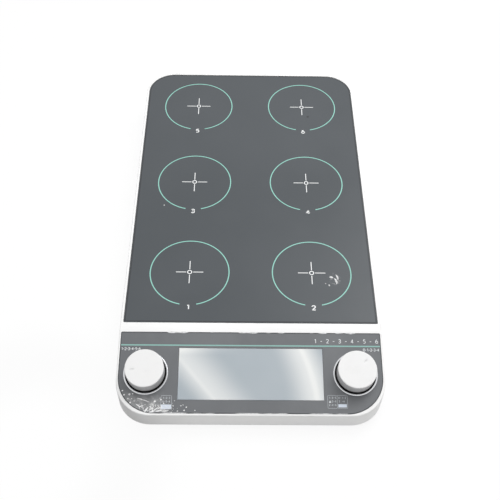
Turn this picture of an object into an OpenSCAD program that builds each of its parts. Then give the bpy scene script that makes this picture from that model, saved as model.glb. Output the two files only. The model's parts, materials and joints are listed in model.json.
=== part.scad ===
// Six-position magnetic stirrer. A slim white casing carries a dark glass plate with six
// stirring positions, and slopes down at the front to a control panel with a display and
// two knobs that turn and push. Under each position a flat motor spins a pair of magnets.
// Millimetres. X to the right, Y to the rear, Z up, origin on the bench under the middle.

/* [Casing] */
// Width of the casing
body_w = 224; // [216:1:250]
// Length of the casing from its front wall to its rear wall
body_l = 406.5; // [395:0.5:440]
// Height of the casing, from the underside of the base to the level top
body_h = 33; // [32:0.5:42]
// Radius of the casing's upright corners
corner_r = 31; // [26:0.5:34]
// Rounding of the casing's top edges
edge_r = 1.8; // [1:0.1:2.4]
// Thickness of the casing's walls
wall = 2.5; // [2:0.1:3]
// Thickness of the roof under the glass plate
roof_t = 2; // [1.5:0.1:3]
// Thickness of the base plate
base_t = 3; // [2.5:0.1:3.6]

/* [Glass plate] */
// Thickness of the glass plate
plate_t = 4; // [3:0.1:5]
// White rim left around the plate at the sides and the rear
plate_rim = 2.65; // [2.2:0.05:4]
// Level white band between the plate and the crease of the control panel
band_w = 4.5; // [2:0.1:8]
// Radius of the plate's rear corners
plate_rear_r = 27; // [20:0.5:30]
// Radius of the plate's front corners
plate_front_r = 1.2; // [0.8:0.1:4]
// Thickness of the adhesive tape under the plate
tape_t = 0.5; // [0.3:0.1:1]
// Width of the tape's frame
tape_w = 9; // [5:0.5:14]
// Distance from the plate's edge to the tape
tape_inset = 3; // [1:0.5:6]

/* [Stirring positions] */
// Spacing of the positions, across and along the plate
pitch = 110; // [104:1:114]
// Distance from the plate's rear edge to the rear row's centres
rear_row_inset = 50.85; // [48:0.05:56]

/* [Magnet drive] */
// Radius of a motor's can
motor_r = 19; // [15:0.5:22]
// Radius of the motor's nose, which passes through the deck
nose_r = 5; // [4.5:0.1:6]
// Height of the nose above the deck
nose_h = 1; // [0.5:0.1:1.5]
// Radius of a motor shaft
shaft_r = 1.5; // [1:0.1:2]
// Outer radius of the bush in the nose
bush_r = 3; // [2.6:0.1:3.6]
// Length of the bush
bush_l = 4; // [3:0.1:5]
// Thickness of the motor's end wall under the shaft
motor_floor = 1.5; // [1:0.1:2]
// Radius of a magnet carrier
carrier_r = 24; // [22:0.5:28]
// Thickness of a magnet carrier's disc
carrier_t = 3; // [2.5:0.1:3.5]
// Radius of the carrier's hub
hub_r = 5; // [4:0.1:6]
// Length of the hub below the disc
hub_h = 2.5; // [2:0.1:3]
// Radius of a drive magnet
magnet_r = 7.5; // [5:0.5:8.5]
// Height of a drive magnet
magnet_h = 5; // [4:0.1:5.5]
// Distance from the shaft to a magnet's centre
magnet_at = 13.5; // [13:0.1:15]
// Depth of the pocket that holds a magnet
pocket_d = 1; // [0.5:0.1:1.5]
// Thickness of the steel deck that carries the motors
deck_t = 1.5; // [1:0.1:2]
// Distance from the outer rows to the deck's ends
deck_margin = 32; // [30:0.5:36]
// Radius of the deck's corners
deck_r = 6; // [3:0.5:10]
// Distance from the deck's edge to its posts
post_inset = 8; // [7:0.5:10]
// Radius of a post
post_r = 4; // [3.5:0.1:5]
// Distance from the shaft to a motor's fixing screw
motor_screw_at = 12; // [10.5:0.1:13]

/* [Driver board] */
// Width of the driver board
driver_w = 52; // [46:1:60]
// Distance from the outer rows to the driver board's ends
driver_end = 14; // [12:0.5:18]
// Thickness of both circuit boards
board_t = 1.6; // [1.2:0.1:2]
// Height of the posts under the driver board
standoff_h = 3; // [2:0.1:3.5]
// Radius of those posts
standoff_r = 3.5; // [3:0.1:4]
// Distance from the driver board's side to its screws
driver_screw_inset = 4.5; // [4:0.1:6]
// Width of a board's cable header
header_w = 44; // [40:1:46]
// Depth of a cable header
header_d = 5; // [4:0.1:6]
// Height of a cable header
header_h = 4; // [3:0.1:4.4]
// Side of a motor driver chip
chip_w = 9; // [6:0.5:12]
// Height of a motor driver chip
chip_h = 1.6; // [1:0.1:2]
// Width of the ribbon cable
ribbon_w = 24; // [16:1:36]
// Thickness of the ribbon cable
ribbon_t = 1; // [0.8:0.1:1.4]
// Width of a motor lead
lead_w = 8; // [5:0.5:10]
// Thickness of a motor lead
lead_t = 0.8; // [0.6:0.1:1.2]
// Length of a motor lead that lies on the driver board
lead_lap = 5; // [3:0.5:8]
// Width of a power lead
power_lead_w = 4; // [3:0.5:6]
// Thickness of a power lead
power_lead_t = 1.2; // [1:0.1:1.6]
// Distance from the middle of the rear fittings down to their leads
lead_drop = 3; // [2:0.1:4]

/* [Control panel] */
// Slope of the control panel in degrees
panel_tilt = 12; // [8:0.5:13]
// Level distance from the front wall to the crease where the slope starts
panel_run = 75; // [74:0.5:84]
// Thickness of the sloped panel, with its overlay
panel_t = 3; // [2.6:0.1:3.4]
// Thickness of the printed overlay
overlay_t = 0.5; // [0.3:0.1:0.8]
// White rim left beside the overlay
overlay_rim = 1.6; // [1.4:0.1:3]
// White rim left in front of the overlay
overlay_front_rim = 1.8; // [1.7:0.1:5]
// Distance down the slope from the crease to the overlay
overlay_start = 4.9; // [3:0.1:8]
// Radius of the overlay's front corners
overlay_r = 31; // [20:0.5:32]
// Radius of the overlay's rear corners
overlay_rear_r = 1; // [0.6:0.1:3]
// Distance from the casing's sides to the control board
control_side = 12; // [10:0.5:17]
// Length of the control board down the slope
control_l = 51; // [46:0.5:51]
// Radius of the control board's corners
control_r = 16; // [10:0.5:20]
// Depth of the control board's face below the panel
control_depth = 11.5; // [11.4:0.1:12]
// Distance from a knob's axis in to the control board's screws
control_screw_off = 15.5; // [13.5:0.5:17.5]
// Distance from the control board's ends to its screws
control_screw_inset = 4.5; // [4:0.1:6]
// Radius of the posts that hold the control board
control_post_r = 3; // [2.6:0.1:3.4]

/* [Display] */
// Distance from a knob's collar to the display window
display_side = 8.25; // [7.75:0.05:13.75]
// Height of the display window down the slope
display_l = 44.5; // [40:0.5:46]
// Distance down the slope from the crease to the middle of the window
display_v = 41.3; // [39:0.1:41.6]
// Thickness of the clear window
window_t = 1; // [0.8:0.1:1.2]
// Width of the holder's rim beyond the window
holder_rim = 3; // [2:0.1:4]
// Wall of the holder inside the window's outline
holder_wall = 2; // [1.5:0.1:3]
// Width of the ledge that carries the backlight
holder_ledge = 2; // [1:0.1:3]
// Thickness of the backlight
backlight_t = 3; // [2:0.1:4]

/* [Knobs] */
// Distance from the casing's side to a knob's axis
knob_inset = 24.5; // [22.5:0.1:26]
// Distance down the slope from the crease to a knob's axis
knob_v = 41; // [38:0.1:43]
// Radius of a knob
knob_r = 16.1; // [14:0.1:16.4]
// Height of a knob above the panel
knob_top = 14; // [11:0.1:16]
// Rounding of a knob's top edge
knob_edge_r = 0.8; // [0.5:0.1:2]
// Thickness of a knob's skirt
knob_wall = 1.8; // [1.4:0.1:2.4]
// Thickness of a knob's top
knob_roof = 2; // [1.5:0.1:2.6]
// Depth of a knob's skirt below the panel
knob_sink = 1.5; // [1:0.1:2.5]
// Radius of the hub inside a knob
knob_hub_r = 5.5; // [5:0.1:7]
// Distance from a knob's axis to the dimple in its top
dimple_at = 10; // [8:0.1:11]
// Radius of the ball that shapes the dimple
dimple_ball_r = 7; // [5:0.5:10]
// Depth of the dimple
dimple_d = 0.6; // [0.3:0.1:0.9]
// Directions of the left and right dimples in degrees
dimple_turn = [180, 45];
// Outer radius of the collar around a knob
collar_r = 18.75; // [18.6:0.05:19.5]
// Inner radius of the collar
well_r = 17.3; // [17.1:0.05:17.5]
// Wall of the collar's sleeve
sleeve_t = 0.8; // [0.6:0.05:0.9]
// Height of the collar above the panel
collar_h = 1; // [0.6:0.1:1.6]
// Depth of the well inside the collar
well_d = 4; // [3.8:0.1:4.2]
// Thickness of the well's floor
well_floor_t = 1; // [0.8:0.1:1.2]
// How far a knob can be pushed in
push_travel = 0.5; // [0.3:0.1:0.8]

/* [Encoders] */
// Side of an encoder's housing
encoder_w = 12.4; // [11.4:0.1:13]
// Radius of an encoder's shaft
spindle_r = 3; // [2.6:0.1:3.2]
// Distance from the spindle's axis to its flat
spindle_flat = 1.5; // [1:0.1:2]
// Radius of the threaded neck that guides the spindle
neck_r = 4.2; // [4:0.1:4.6]
// Radius of the spindle's retaining flange
flange_r = 4.4; // [4:0.1:4.8]
// Thickness of the retaining flange
flange_t = 1; // [0.8:0.1:1.2]
// Thickness of the housing's top
encoder_roof = 2; // [1.5:0.1:2.2]
// Thickness of the housing's bottom
encoder_floor = 0.8; // [0.6:0.1:1]
// Radius of the push plunger
plunger_r = 3.5; // [2.5:0.1:4]
// Radius of the plunger's tip
plunger_tip_r = 1.2; // [0.8:0.1:1.6]
// Length of the plunger's tip
plunger_tip_l = 0.4; // [0.2:0.1:0.5]

/* [Rear fittings] */
// Distance of the power socket to the left of the middle
socket_off = 16; // [14:0.5:24]
// Radius of the socket's barrel
socket_r = 5.5; // [5:0.1:6]
// Length of the socket's barrel inside the casing
socket_l = 14; // [12:0.5:17]
// Radius of the socket's flange
socket_flange_r = 7; // [6.5:0.1:8]
// Thickness of the socket's flange
socket_flange_t = 1.2; // [0.8:0.1:1.6]
// Radius of the socket's bore
socket_bore_r = 3.2; // [2.8:0.1:3.4]
// Depth of the socket's bore
socket_bore_d = 9.5; // [8:0.1:11]
// Radius of the socket's centre pin
socket_pin_r = 1; // [0.6:0.05:1.3]
// Distance from the socket's mouth down to the pin's tip
socket_pin_sink = 1; // [0.5:0.1:2]
// Width across the flats of the socket's nut
nut_af = 14; // [13:0.5:16]
// Thickness of the socket's nut
nut_t = 2.5; // [2:0.1:4]
// Distance of the power switch to the right of the middle
switch_off = 16; // [14:0.5:24]
// Width of the switch's bezel
bezel_w = 22; // [21:0.5:24]
// Height of the switch's bezel
bezel_h = 15.5; // [15:0.5:17]
// Thickness of the switch's bezel
bezel_t = 1.5; // [1:0.1:2]
// Width of the switch's body
switch_w = 19; // [18.6:0.1:19.6]
// Height of the switch's body
switch_h = 12.8; // [12:0.1:13.4]
// Depth of the switch's body inside the casing
switch_d = 13; // [11:0.5:16]
// Wall of the switch's body
switch_wall = 1.5; // [1.2:0.1:1.7]
// Half of the rocker's length
rocker_half = 7.2; // [6.4:0.1:7.3]
// Swing of the rocker to each side, in degrees
rocker_swing = 8; // [5:0.5:9]
// Height of the rocker's middle above its pivot
rocker_rise = 3.2; // [3:0.1:3.6]
// Depth of the rocker's ends
rocker_end = 2.4; // [1.8:0.1:2.6]
// Radius of the rocker's barrel around its pivot
rocker_barrel_r = 2.6; // [2:0.1:2.8]
// Radius of the rocker's trunnions
trunnion_r = 1; // [0.8:0.05:1.3]
// Depth of the rocker's pivot inside the rear wall's face
pivot_d = 1; // [0.8:0.1:1.4]

/* [Feet and screws] */
// Height of the feet
foot_h = 5; // [3:0.5:8]
// Radius of a foot
foot_r = 9; // [7:0.5:11]
// Rounding of a foot's bottom edge
foot_edge_r = 1.2; // [0.8:0.1:2]
// Distance from the casing's sides to a foot's centre
foot_inset = 19; // [18:0.5:21]
// Radius of a foot's plug in the base
plug_r = 3; // [2.5:0.1:4]
// How far the plug's head is wider than the plug
plug_lip = 0.8; // [0.5:0.1:1.2]
// Height of the plug's head
plug_head_h = 1; // [0.6:0.1:1.1]
// Radius of the bosses that take the casing screws
boss_r = 4; // [3.5:0.1:4.4]
// Distance from a wall's inner face to a boss's axis
boss_reach = 5.2; // [5:0.1:5.6]
// Thickness of the rib that ties a boss to the wall
rib_t = 2.4; // [1.6:0.1:3]
// Distance from the display's holder out to the front casing screws
front_screw_off = 6.5; // [5.5:0.1:8.5]
// Distance from the crease back to the first pair of side screws
first_screw_y = 8; // [5:0.5:14]
// Distance from the rear wall to the last pair of side screws
last_screw_y = 45; // [40:0.5:55]
// Radius of a casing screw's shank
casing_screw_r = 1.5; // [1.25:0.05:1.7]
// Radius of a casing screw's head
casing_head_r = 2.9; // [2.6:0.1:3.2]
// Height of a casing screw's head
casing_head_h = 1.4; // [1:0.1:1.5]
// Grip of a casing screw in its boss
casing_grip = 7; // [5:0.5:8]
// Radius of a small screw's shank
small_screw_r = 1.1; // [0.9:0.05:1.25]
// Radius of a small screw's head
small_head_r = 2.2; // [1.9:0.1:2.5]
// Height of a small screw's head
small_head_h = 1.2; // [0.8:0.1:1.5]
// Grip of a small screw in what it holds to
small_grip = 3.5; // [2.5:0.1:3.8]

/* [Clearances] */
// Gap around the glass plate
plate_gap = 0.3; // [0.1:0.05:0.5]
// Gap around the overlay
overlay_gap = 0.15; // [0.05:0.05:0.3]
// Gap around the display window
window_gap = 0.2; // [0.1:0.05:0.4]
// Gap around the backlight in its holder
backlight_gap = 0.2; // [0.1:0.05:0.4]
// Gap around a collar's sleeve
sleeve_gap = 0.15; // [0.05:0.05:0.3]
// Gap around the base plate
base_gap = 0.25; // [0.1:0.05:0.5]
// Gap around the rear fittings in the wall
fitting_gap = 0.2; // [0.1:0.05:0.4]
// Gap around pressed-in pieces
press_gap = 0.02; // [0.01:0.01:0.04]
// Running gap around shafts and trunnions
run_gap = 0.05; // [0.02:0.01:0.1]
// Gap between a screw and the hole that it passes through
pass_gap = 0.3; // [0.2:0.05:0.4]
// Gap between the magnets and the roof
rotor_gap = 1; // [0.6:0.1:1.5]
// Gap between a carrier's hub and the motor's nose
hub_gap = 0.5; // [0.3:0.1:0.8]
// Gap under the motors
motor_gap = 1.2; // [0.8:0.1:1.6]
// Gap between the deck and the bosses beside it
deck_gap = 3; // [2:0.1:5]
// Free room around the rocker in its housing
rocker_gap = 0.4; // [0.3:0.05:0.5]
// Free room under a plunger at the end of its travel
plunger_gap = 0.1; // [0.05:0.05:0.2]

/* [Hidden] */
// Facets of the casing's rounded edges, and how far a cut runs past the face that it opens
$fn = 64;
roll_fn = 48;
over = 1;
// Least corner radius of an outline, bite of a boss into the panel, and spare depth of a pilot hole
least_r = 0.5;
boss_bite = 0.2;
pilot_spare = 0.2;
// Inward taper of the slab that the walls rise from, so that only its lower edge shows
slab_taper = 0.9;

// Heights above the bench
z_base = foot_h;
z_floor = z_base + base_t;
z_top = z_base + body_h;
z_roof = z_top - plate_t - tape_t - roof_t;
z_magnet = z_roof - rotor_gap;
z_carrier = z_magnet - magnet_h + pocket_d;
z_hub = z_carrier - carrier_t - hub_h;
z_nose = z_hub - hub_gap;
z_deck = z_nose - nose_h;
z_mount = z_deck - deck_t;
z_motor = z_floor + motor_gap;
z_driver = z_floor + standoff_h;
z_driver_top = z_driver + board_t;
z_rear = (z_floor + z_roof) / 2;
z_lead = z_driver_top + header_h / 2;

// Places along the part, with room at the rear for the rocker's raised end
rocker_tip = rocker_rise + rocker_half * tan(rocker_swing);
rear_proud = rocker_half * sin(rocker_swing) + rocker_tip * cos(rocker_swing) - pivot_d;
front_y = -(body_l + rear_proud) / 2;
rear_y = front_y + body_l;
crease_y = front_y + panel_run;
plate_w = body_w - 2 * plate_rim;
plate_y0 = crease_y + band_w;
plate_y1 = rear_y - plate_rim;
rear_row_y = plate_y1 - rear_row_inset;

// Stirring positions 1 to 6, from front left to rear right
positions = [for (k = [0:5]) [(k % 2 - 0.5) * pitch, rear_row_y - (2 - floor(k / 2)) * pitch]];
row_y = [for (r = [0:2]) rear_row_y - (2 - r) * pitch];
between_y = [for (r = [0:1]) (row_y[r] + row_y[r + 1]) / 2];

// Knobs, and the display between them
knob_x = body_w / 2 - knob_inset;
display_w = 2 * (knob_x - collar_r - display_side);

// Casing screws, deck posts, driver board screws and feet
side_screw_x = body_w / 2 - wall - boss_reach;
front_screw_x = display_w / 2 + holder_rim + front_screw_off;
front_screw_y = front_y + wall + boss_reach;
side_screw_y = [crease_y + first_screw_y, row_y[1], rear_y - last_screw_y];
front_screws = [for (s = [-1, 1]) [s * front_screw_x, front_screw_y]];
side_screws = [for (s = [-1, 1], y = side_screw_y) [s * side_screw_x, y]];
deck_half = side_screw_x - boss_r - deck_gap;
deck_y0 = row_y[0] - deck_margin;
deck_y1 = row_y[2] + deck_margin;
post_y = concat([deck_y0 + post_inset], between_y, [deck_y1 - post_inset]);
posts = [for (s = [-1, 1], y = post_y) [s * (deck_half - post_inset), y]];
driver_y0 = row_y[0] - driver_end;
driver_y1 = row_y[2] + driver_end;
driver_screws = [for (s = [-1, 1], y = between_y) [s * (driver_w / 2 - driver_screw_inset), y]];
foot_x = body_w / 2 - foot_inset;
foot_front_y = front_y + foot_inset;
foot_rear_y = rear_y - foot_inset;

// Control panel: across X, down the slope in -V, and W out of its face
slope_l = panel_run / cos(panel_tilt);
overlay_w = body_w - 2 * overlay_rim;
overlay_v0 = overlay_front_rim - slope_l;
overlay_v1 = -overlay_start;
roll_y = front_y + (corner_r - edge_r) * cos(panel_tilt) + edge_r;
roll_v = (roll_y - crease_y - edge_r * sin(panel_tilt)) / cos(panel_tilt);
control_w = body_w - 2 * control_side;
control_screw_x = knob_x - control_screw_off;
control_v0 = -display_v - control_l / 2;
control_v1 = -display_v + control_l / 2;
control_v = [control_v0 + control_screw_inset, control_v1 - control_screw_inset];
control_screws = [for (s = [-1, 1], v = control_v) [s * control_screw_x, v]];
control_under = control_depth + board_t;

// Knob and encoder, along the knob's axis
sleeve_r = well_r + sleeve_t;
encoder_top = -well_d - well_floor_t;
encoder_bottom = -control_depth;
cavity_top = encoder_top - encoder_roof;
cavity_bottom = encoder_bottom + encoder_floor;
cavity_r = flange_r + pass_gap;
spindle_bottom = cavity_top - press_gap - flange_t;
spindle_top = knob_top - knob_roof;
plunger_bottom = cavity_bottom + push_travel + plunger_gap;
plunger_l = spindle_bottom - plunger_bottom;
hub_bottom = push_travel + press_gap;
neck_top = -pass_gap;

// Switch
rocker_h = switch_h - 2 * switch_wall - 2 * rocker_gap;
rocker_reach = rocker_half * cos(rocker_swing) + rocker_tip * sin(rocker_swing);
switch_bay_w = 2 * (rocker_reach + rocker_gap);
switch_bay_d = pivot_d + rocker_barrel_r + rocker_gap;

fixed_nodes = ["upper_shell", "base_plate", "top_plate", "plate_tape", "panel_overlay",
    "display_window", "lcd_panel", "backlight", "display_holder", "control_board",
    "motor_deck", "motor_bushes", "driver_board", "ribbon_cable", "wiring", "dc_socket",
    "socket_nut", "switch_housing", "power_rocker", "casing_screws", "deck_screws",
    "board_screws"];
sides = ["left", "right"];
knob_parts = ["knob", "knob_collar", "encoder", "encoder_spindle", "push_plunger"];
feet = ["foot_front_left", "foot_front_right", "foot_rear_left", "foot_rear_right"];
drive_parts = ["motor", "motor_shaft", "magnet_carrier", "drive_magnets"];

// Height of the sloped panel's underside at a place along the part
function panel_under(y) =
    z_top - (crease_y - y) * tan(panel_tilt) - panel_t / cos(panel_tilt);

// Rectangle with one corner radius at the front and another at the rear
module slab_2d(w, y0, y1, r0, r1) {
    translate([-w / 2 + r0, y0]) square([w - 2 * r0, y1 - y0 - r1]);
    translate([-w / 2 + r1, y0 + r0]) square([w - 2 * r1, y1 - y0 - r0]);
    translate([-w / 2, y0 + r0]) square([w, y1 - y0 - r0 - r1]);
    for (s = [-1, 1]) {
        translate([s * (w / 2 - r0), y0 + r0]) circle(r0);
        translate([s * (w / 2 - r1), y1 - r1]) circle(r1);
    }
}

module body_2d(inset) {
    slab_2d(body_w - 2 * inset, front_y + inset, rear_y - inset, corner_r - inset, corner_r - inset);
}

module plate_2d(grow) {
    front_r = max(plate_front_r + grow, least_r);
    rear_r = max(plate_rear_r + grow, least_r);
    slab_2d(plate_w + 2 * grow, plate_y0 - grow, plate_y1 + grow, front_r, rear_r);
}

module overlay_2d(grow) {
    slab_2d(overlay_w + 2 * grow, overlay_v0 - grow, overlay_v1 + grow,
        overlay_r + grow, overlay_rear_r + grow);
}

// Block centred across X and Y, standing on Z
module block(w, l, h) {
    translate([-w / 2, -l / 2, 0]) cube([w, l, h]);
}

// The sloped panel's own frame, from the middle of its crease
module on_panel() {
    translate([0, crease_y, z_top]) rotate([panel_tilt, 0, 0]) children();
}

module at_display() {
    on_panel() translate([0, -display_v, 0]) children();
}

module at_knob(side) {
    on_panel() translate([side * knob_x, -knob_v, 0]) children();
}

// The rear wall's frame at one fitting, with Y out of the wall
module at_rear(x) {
    translate([x, rear_y, z_rear]) children();
}

module at_position(k) {
    translate(positions[k - 1]) children();
}

// Round bar along Y from one depth to another
module bar_y(r, y0, y1) {
    translate([0, y0, 0]) rotate([-90, 0, 0]) cylinder(r = r, h = y1 - y0);
}

// Screw with its head below its seat and its shank upwards
module screw(shank_r, head_r, head_h, length) {
    translate([0, 0, -head_h]) cylinder(r = head_r, h = head_h);
    cylinder(r = shank_r, h = length);
}

module small_screw(through) {
    screw(small_screw_r, small_head_r, small_head_h, through + small_grip);
}

// Hole for a small screw's grip, up from its mouth
module small_pilot() {
    translate([0, 0, -over]) cylinder(r = small_screw_r + press_gap, h = small_grip + pilot_spare + over);
}

module small_pass(through) {
    translate([0, 0, -over]) cylinder(r = small_screw_r + pass_gap, h = through + 2 * over);
}

// Ring and ball that round the casing's top edge
module roll() {
    rotate_extrude($fn = roll_fn) translate([corner_r - edge_r, 0]) circle(edge_r, $fn = 24);
}

module ball() {
    rotate_extrude($fn = roll_fn) intersection() {
        circle(edge_r, $fn = 24);
        translate([0, -edge_r]) square([edge_r, 2 * edge_r]);
    }
}

// Outside of the casing: upright walls, a level top and the sloped front, with rounded edges
module casing_outside() {
    hull() {
        translate([0, 0, z_base]) linear_extrude(over, scale = slab_taper) body_2d(0, $fn = roll_fn);
        for (s = [-1, 1]) {
            translate([s * (body_w / 2 - corner_r), rear_y - corner_r, z_top - edge_r]) roll();
            translate([s * (body_w / 2 - edge_r), crease_y + edge_r * tan(panel_tilt / 2), z_top - edge_r])
                ball();
            on_panel() translate([s * (body_w / 2 - corner_r), roll_v, -edge_r]) roll();
        }
    }
}

// Inside of the casing: level under the plate, and along the slope under the panel
module casing_inside() {
    intersection() {
        translate([0, 0, z_base - over]) {
            linear_extrude(z_roof - z_base + over) body_2d(wall);
            linear_extrude(body_h)
                slab_2d(body_w - 2 * wall, front_y + wall, crease_y, corner_r - wall, least_r);
        }
        on_panel() translate([0, 0, -panel_t - body_l]) block(2 * body_w, 4 * body_l, body_l);
    }
}

// Boss for a casing screw, with a rib that reaches to the wall
module casing_boss(p, reach, top) {
    translate([p.x, p.y, z_floor]) {
        cylinder(r = boss_r, h = top - z_floor);
        translate([reach.x / 2, reach.y / 2, 0])
            block(abs(reach.x) + rib_t, abs(reach.y) + rib_t, top - z_floor);
    }
}

module upper_shell() {
    color("white") difference() {
        union() {
            difference() {
                casing_outside();
                casing_inside();
            }
            for (p = side_screws) casing_boss(p, [sign(p.x) * boss_reach, 0], z_roof + roof_t / 2);
            for (p = front_screws) casing_boss(p, [0, -boss_reach], panel_under(p.y + boss_r) + boss_bite);
            for (p = control_screws)
                on_panel() translate([p.x, p.y, -control_depth])
                    cylinder(r = control_post_r, h = control_depth - panel_t / 2);
        }
        translate([0, 0, z_top - plate_t - tape_t])
            linear_extrude(plate_t + tape_t + over) plate_2d(plate_gap);
        on_panel() translate([0, 0, -overlay_t]) linear_extrude(overlay_t + over) overlay_2d(overlay_gap);
        at_display() translate([0, 0, -panel_t - over])
            block(display_w + 2 * window_gap, display_l + 2 * window_gap, panel_t + 2 * over);
        for (s = [-1, 1])
            at_knob(s) translate([0, 0, -panel_t - over])
                cylinder(r = sleeve_r + sleeve_gap, h = panel_t + 2 * over);
        at_rear(-socket_off) bar_y(socket_r + fitting_gap, -2 * wall, over);
        at_rear(switch_off) translate([0, -wall / 2, -switch_h / 2 - fitting_gap])
            block(switch_w + 2 * fitting_gap, 3 * wall, switch_h + 2 * fitting_gap);
        for (p = concat(side_screws, front_screws))
            translate([p.x, p.y, z_floor - over])
                cylinder(r = casing_screw_r + press_gap, h = casing_grip + 2 * over);
        for (p = control_screws) on_panel() translate([p.x, p.y, -control_depth]) small_pilot();
    }
}

// Post that stands on the base plate
module base_post(p, r, top) {
    root = z_floor - base_t / 2;
    translate([p.x, p.y, root]) cylinder(r = r, h = top - root);
}

module base_plate() {
    color("gainsboro") difference() {
        union() {
            translate([0, 0, z_base]) linear_extrude(base_t) body_2d(wall + base_gap);
            for (p = posts) base_post(p, post_r, z_mount);
            for (p = driver_screws) base_post(p, standoff_r, z_driver);
        }
        for (p = concat(side_screws, front_screws)) translate([p.x, p.y, z_base - over]) {
            cylinder(r = casing_screw_r + pass_gap, h = base_t + 2 * over);
            cylinder(r = casing_head_r + pass_gap, h = casing_head_h + over);
        }
        for (x = [-foot_x, foot_x], y = [foot_front_y, foot_rear_y])
            translate([x, y, z_base - over]) cylinder(r = plug_r + press_gap, h = base_t + 2 * over);
        for (p = posts) translate([p.x, p.y, z_mount]) mirror([0, 0, 1]) small_pilot();
        for (p = driver_screws) translate([p.x, p.y, z_driver]) mirror([0, 0, 1]) small_pilot();
    }
}

module top_plate() {
    color("dimgray") translate([0, 0, z_top - plate_t]) linear_extrude(plate_t) plate_2d(0);
}

module plate_tape() {
    color("lightgray") translate([0, 0, z_top - plate_t - tape_t]) linear_extrude(tape_t) difference() {
        plate_2d(-tape_inset);
        plate_2d(-tape_inset - tape_w);
    }
}

module panel_overlay() {
    color("gray") difference() {
        on_panel() translate([0, 0, -overlay_t]) linear_extrude(overlay_t) overlay_2d(0);
        at_display() translate([0, 0, -overlay_t - over])
            block(display_w + 2 * window_gap, display_l + 2 * window_gap, overlay_t + 2 * over);
        for (s = [-1, 1])
            at_knob(s) translate([0, 0, -overlay_t - over])
                cylinder(r = sleeve_r + sleeve_gap, h = overlay_t + 2 * over);
    }
}

module display_window() {
    color("lightsteelblue") at_display() translate([0, 0, -window_t]) block(display_w, display_l, window_t);
}

module lcd_panel() {
    color("lightslategray") at_display() translate([0, 0, -panel_t])
        block(display_w, display_l, panel_t - window_t);
}

module backlight() {
    color("honeydew") at_display() translate([0, 0, -panel_t - backlight_t])
        block(display_w - 2 * holder_wall, display_l - 2 * holder_wall, backlight_t);
}

// Frame that stands on the control board and presses the display to the panel
module display_holder() {
    bay = 2 * (holder_wall - backlight_gap);
    ledge = 2 * (holder_wall + holder_ledge);
    color("black") at_display() difference() {
        translate([0, 0, -control_depth])
            block(display_w + 2 * holder_rim, display_l + 2 * holder_rim, control_depth - panel_t);
        translate([0, 0, -panel_t - backlight_t])
            block(display_w - bay, display_l - bay, backlight_t + over);
        translate([0, 0, -control_depth - over])
            block(display_w - ledge, display_l - ledge, control_depth);
    }
}

module control_board() {
    color("seagreen") on_panel() difference() {
        union() {
            translate([0, 0, -control_under])
                linear_extrude(board_t) slab_2d(control_w, control_v0, control_v1, control_r, control_r);
            translate([0, control_v1 - header_d, -control_under - header_h])
                block(header_w, header_d, header_h + board_t / 2);
        }
        for (p = control_screws) translate([p.x, p.y, -control_under]) small_pass(board_t);
    }
}

module knob_collar(side) {
    color("silver") at_knob(side) difference() {
        union() {
            cylinder(r = collar_r, h = collar_h);
            translate([0, 0, encoder_top]) cylinder(r = sleeve_r, h = -encoder_top + collar_h / 2);
        }
        translate([0, 0, -well_d]) cylinder(r = well_r, h = well_d + collar_h + over);
        translate([0, 0, encoder_top - over]) cylinder(r = neck_r + pass_gap, h = well_floor_t + 2 * over);
    }
}

module encoder(side) {
    color("dimgray") at_knob(side) difference() {
        union() {
            translate([0, 0, encoder_bottom]) block(encoder_w, encoder_w, encoder_top - encoder_bottom);
            translate([0, 0, cavity_top]) cylinder(r = neck_r, h = neck_top - cavity_top);
        }
        translate([0, 0, cavity_bottom]) cylinder(r = cavity_r, h = cavity_top - cavity_bottom);
        translate([0, 0, cavity_top - over])
            cylinder(r = spindle_r + run_gap, h = neck_top - cavity_top + 2 * over);
    }
}

// Spindle's cross-section with its flat, wider all round by a gap
module spindle_2d(gap) {
    intersection() {
        circle(spindle_r + gap);
        translate([-2 * spindle_r, -2 * spindle_r])
            square([2 * spindle_r + spindle_flat + gap, 4 * spindle_r]);
    }
}

module encoder_spindle(side) {
    color("silver") at_knob(side) {
        translate([0, 0, spindle_bottom]) cylinder(r = flange_r, h = flange_t);
        translate([0, 0, spindle_bottom]) cylinder(r = spindle_r, h = hub_bottom - spindle_bottom);
        translate([0, 0, hub_bottom - over]) linear_extrude(spindle_top - hub_bottom + over) spindle_2d(0);
    }
}

module push_plunger(side) {
    color("black") at_knob(side) translate([0, 0, plunger_bottom]) {
        cylinder(r = plunger_tip_r, h = plunger_l);
        translate([0, 0, plunger_tip_l]) cylinder(r = plunger_r, h = plunger_l - plunger_tip_l);
    }
}

module knob(side) {
    h = knob_top + knob_sink;
    turn = dimple_turn[side < 0 ? 0 : 1];
    color("whitesmoke") at_knob(side) difference() {
        translate([0, 0, -knob_sink]) rotate_extrude() {
            square([knob_r - knob_edge_r, h]);
            square([knob_r, h - knob_edge_r]);
            translate([knob_r - knob_edge_r, h - knob_edge_r]) circle(knob_edge_r);
        }
        difference() {
            translate([0, 0, -knob_sink - over])
                cylinder(r = knob_r - knob_wall, h = h - knob_roof + over);
            translate([0, 0, hub_bottom]) cylinder(r = knob_hub_r, h = knob_top);
        }
        translate([0, 0, hub_bottom - over])
            linear_extrude(spindle_top - hub_bottom + over) spindle_2d(press_gap);
        rotate([0, 0, turn]) translate([dimple_at, 0, knob_top + dimple_ball_r - dimple_d])
            sphere(dimple_ball_r);
    }
}

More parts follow.
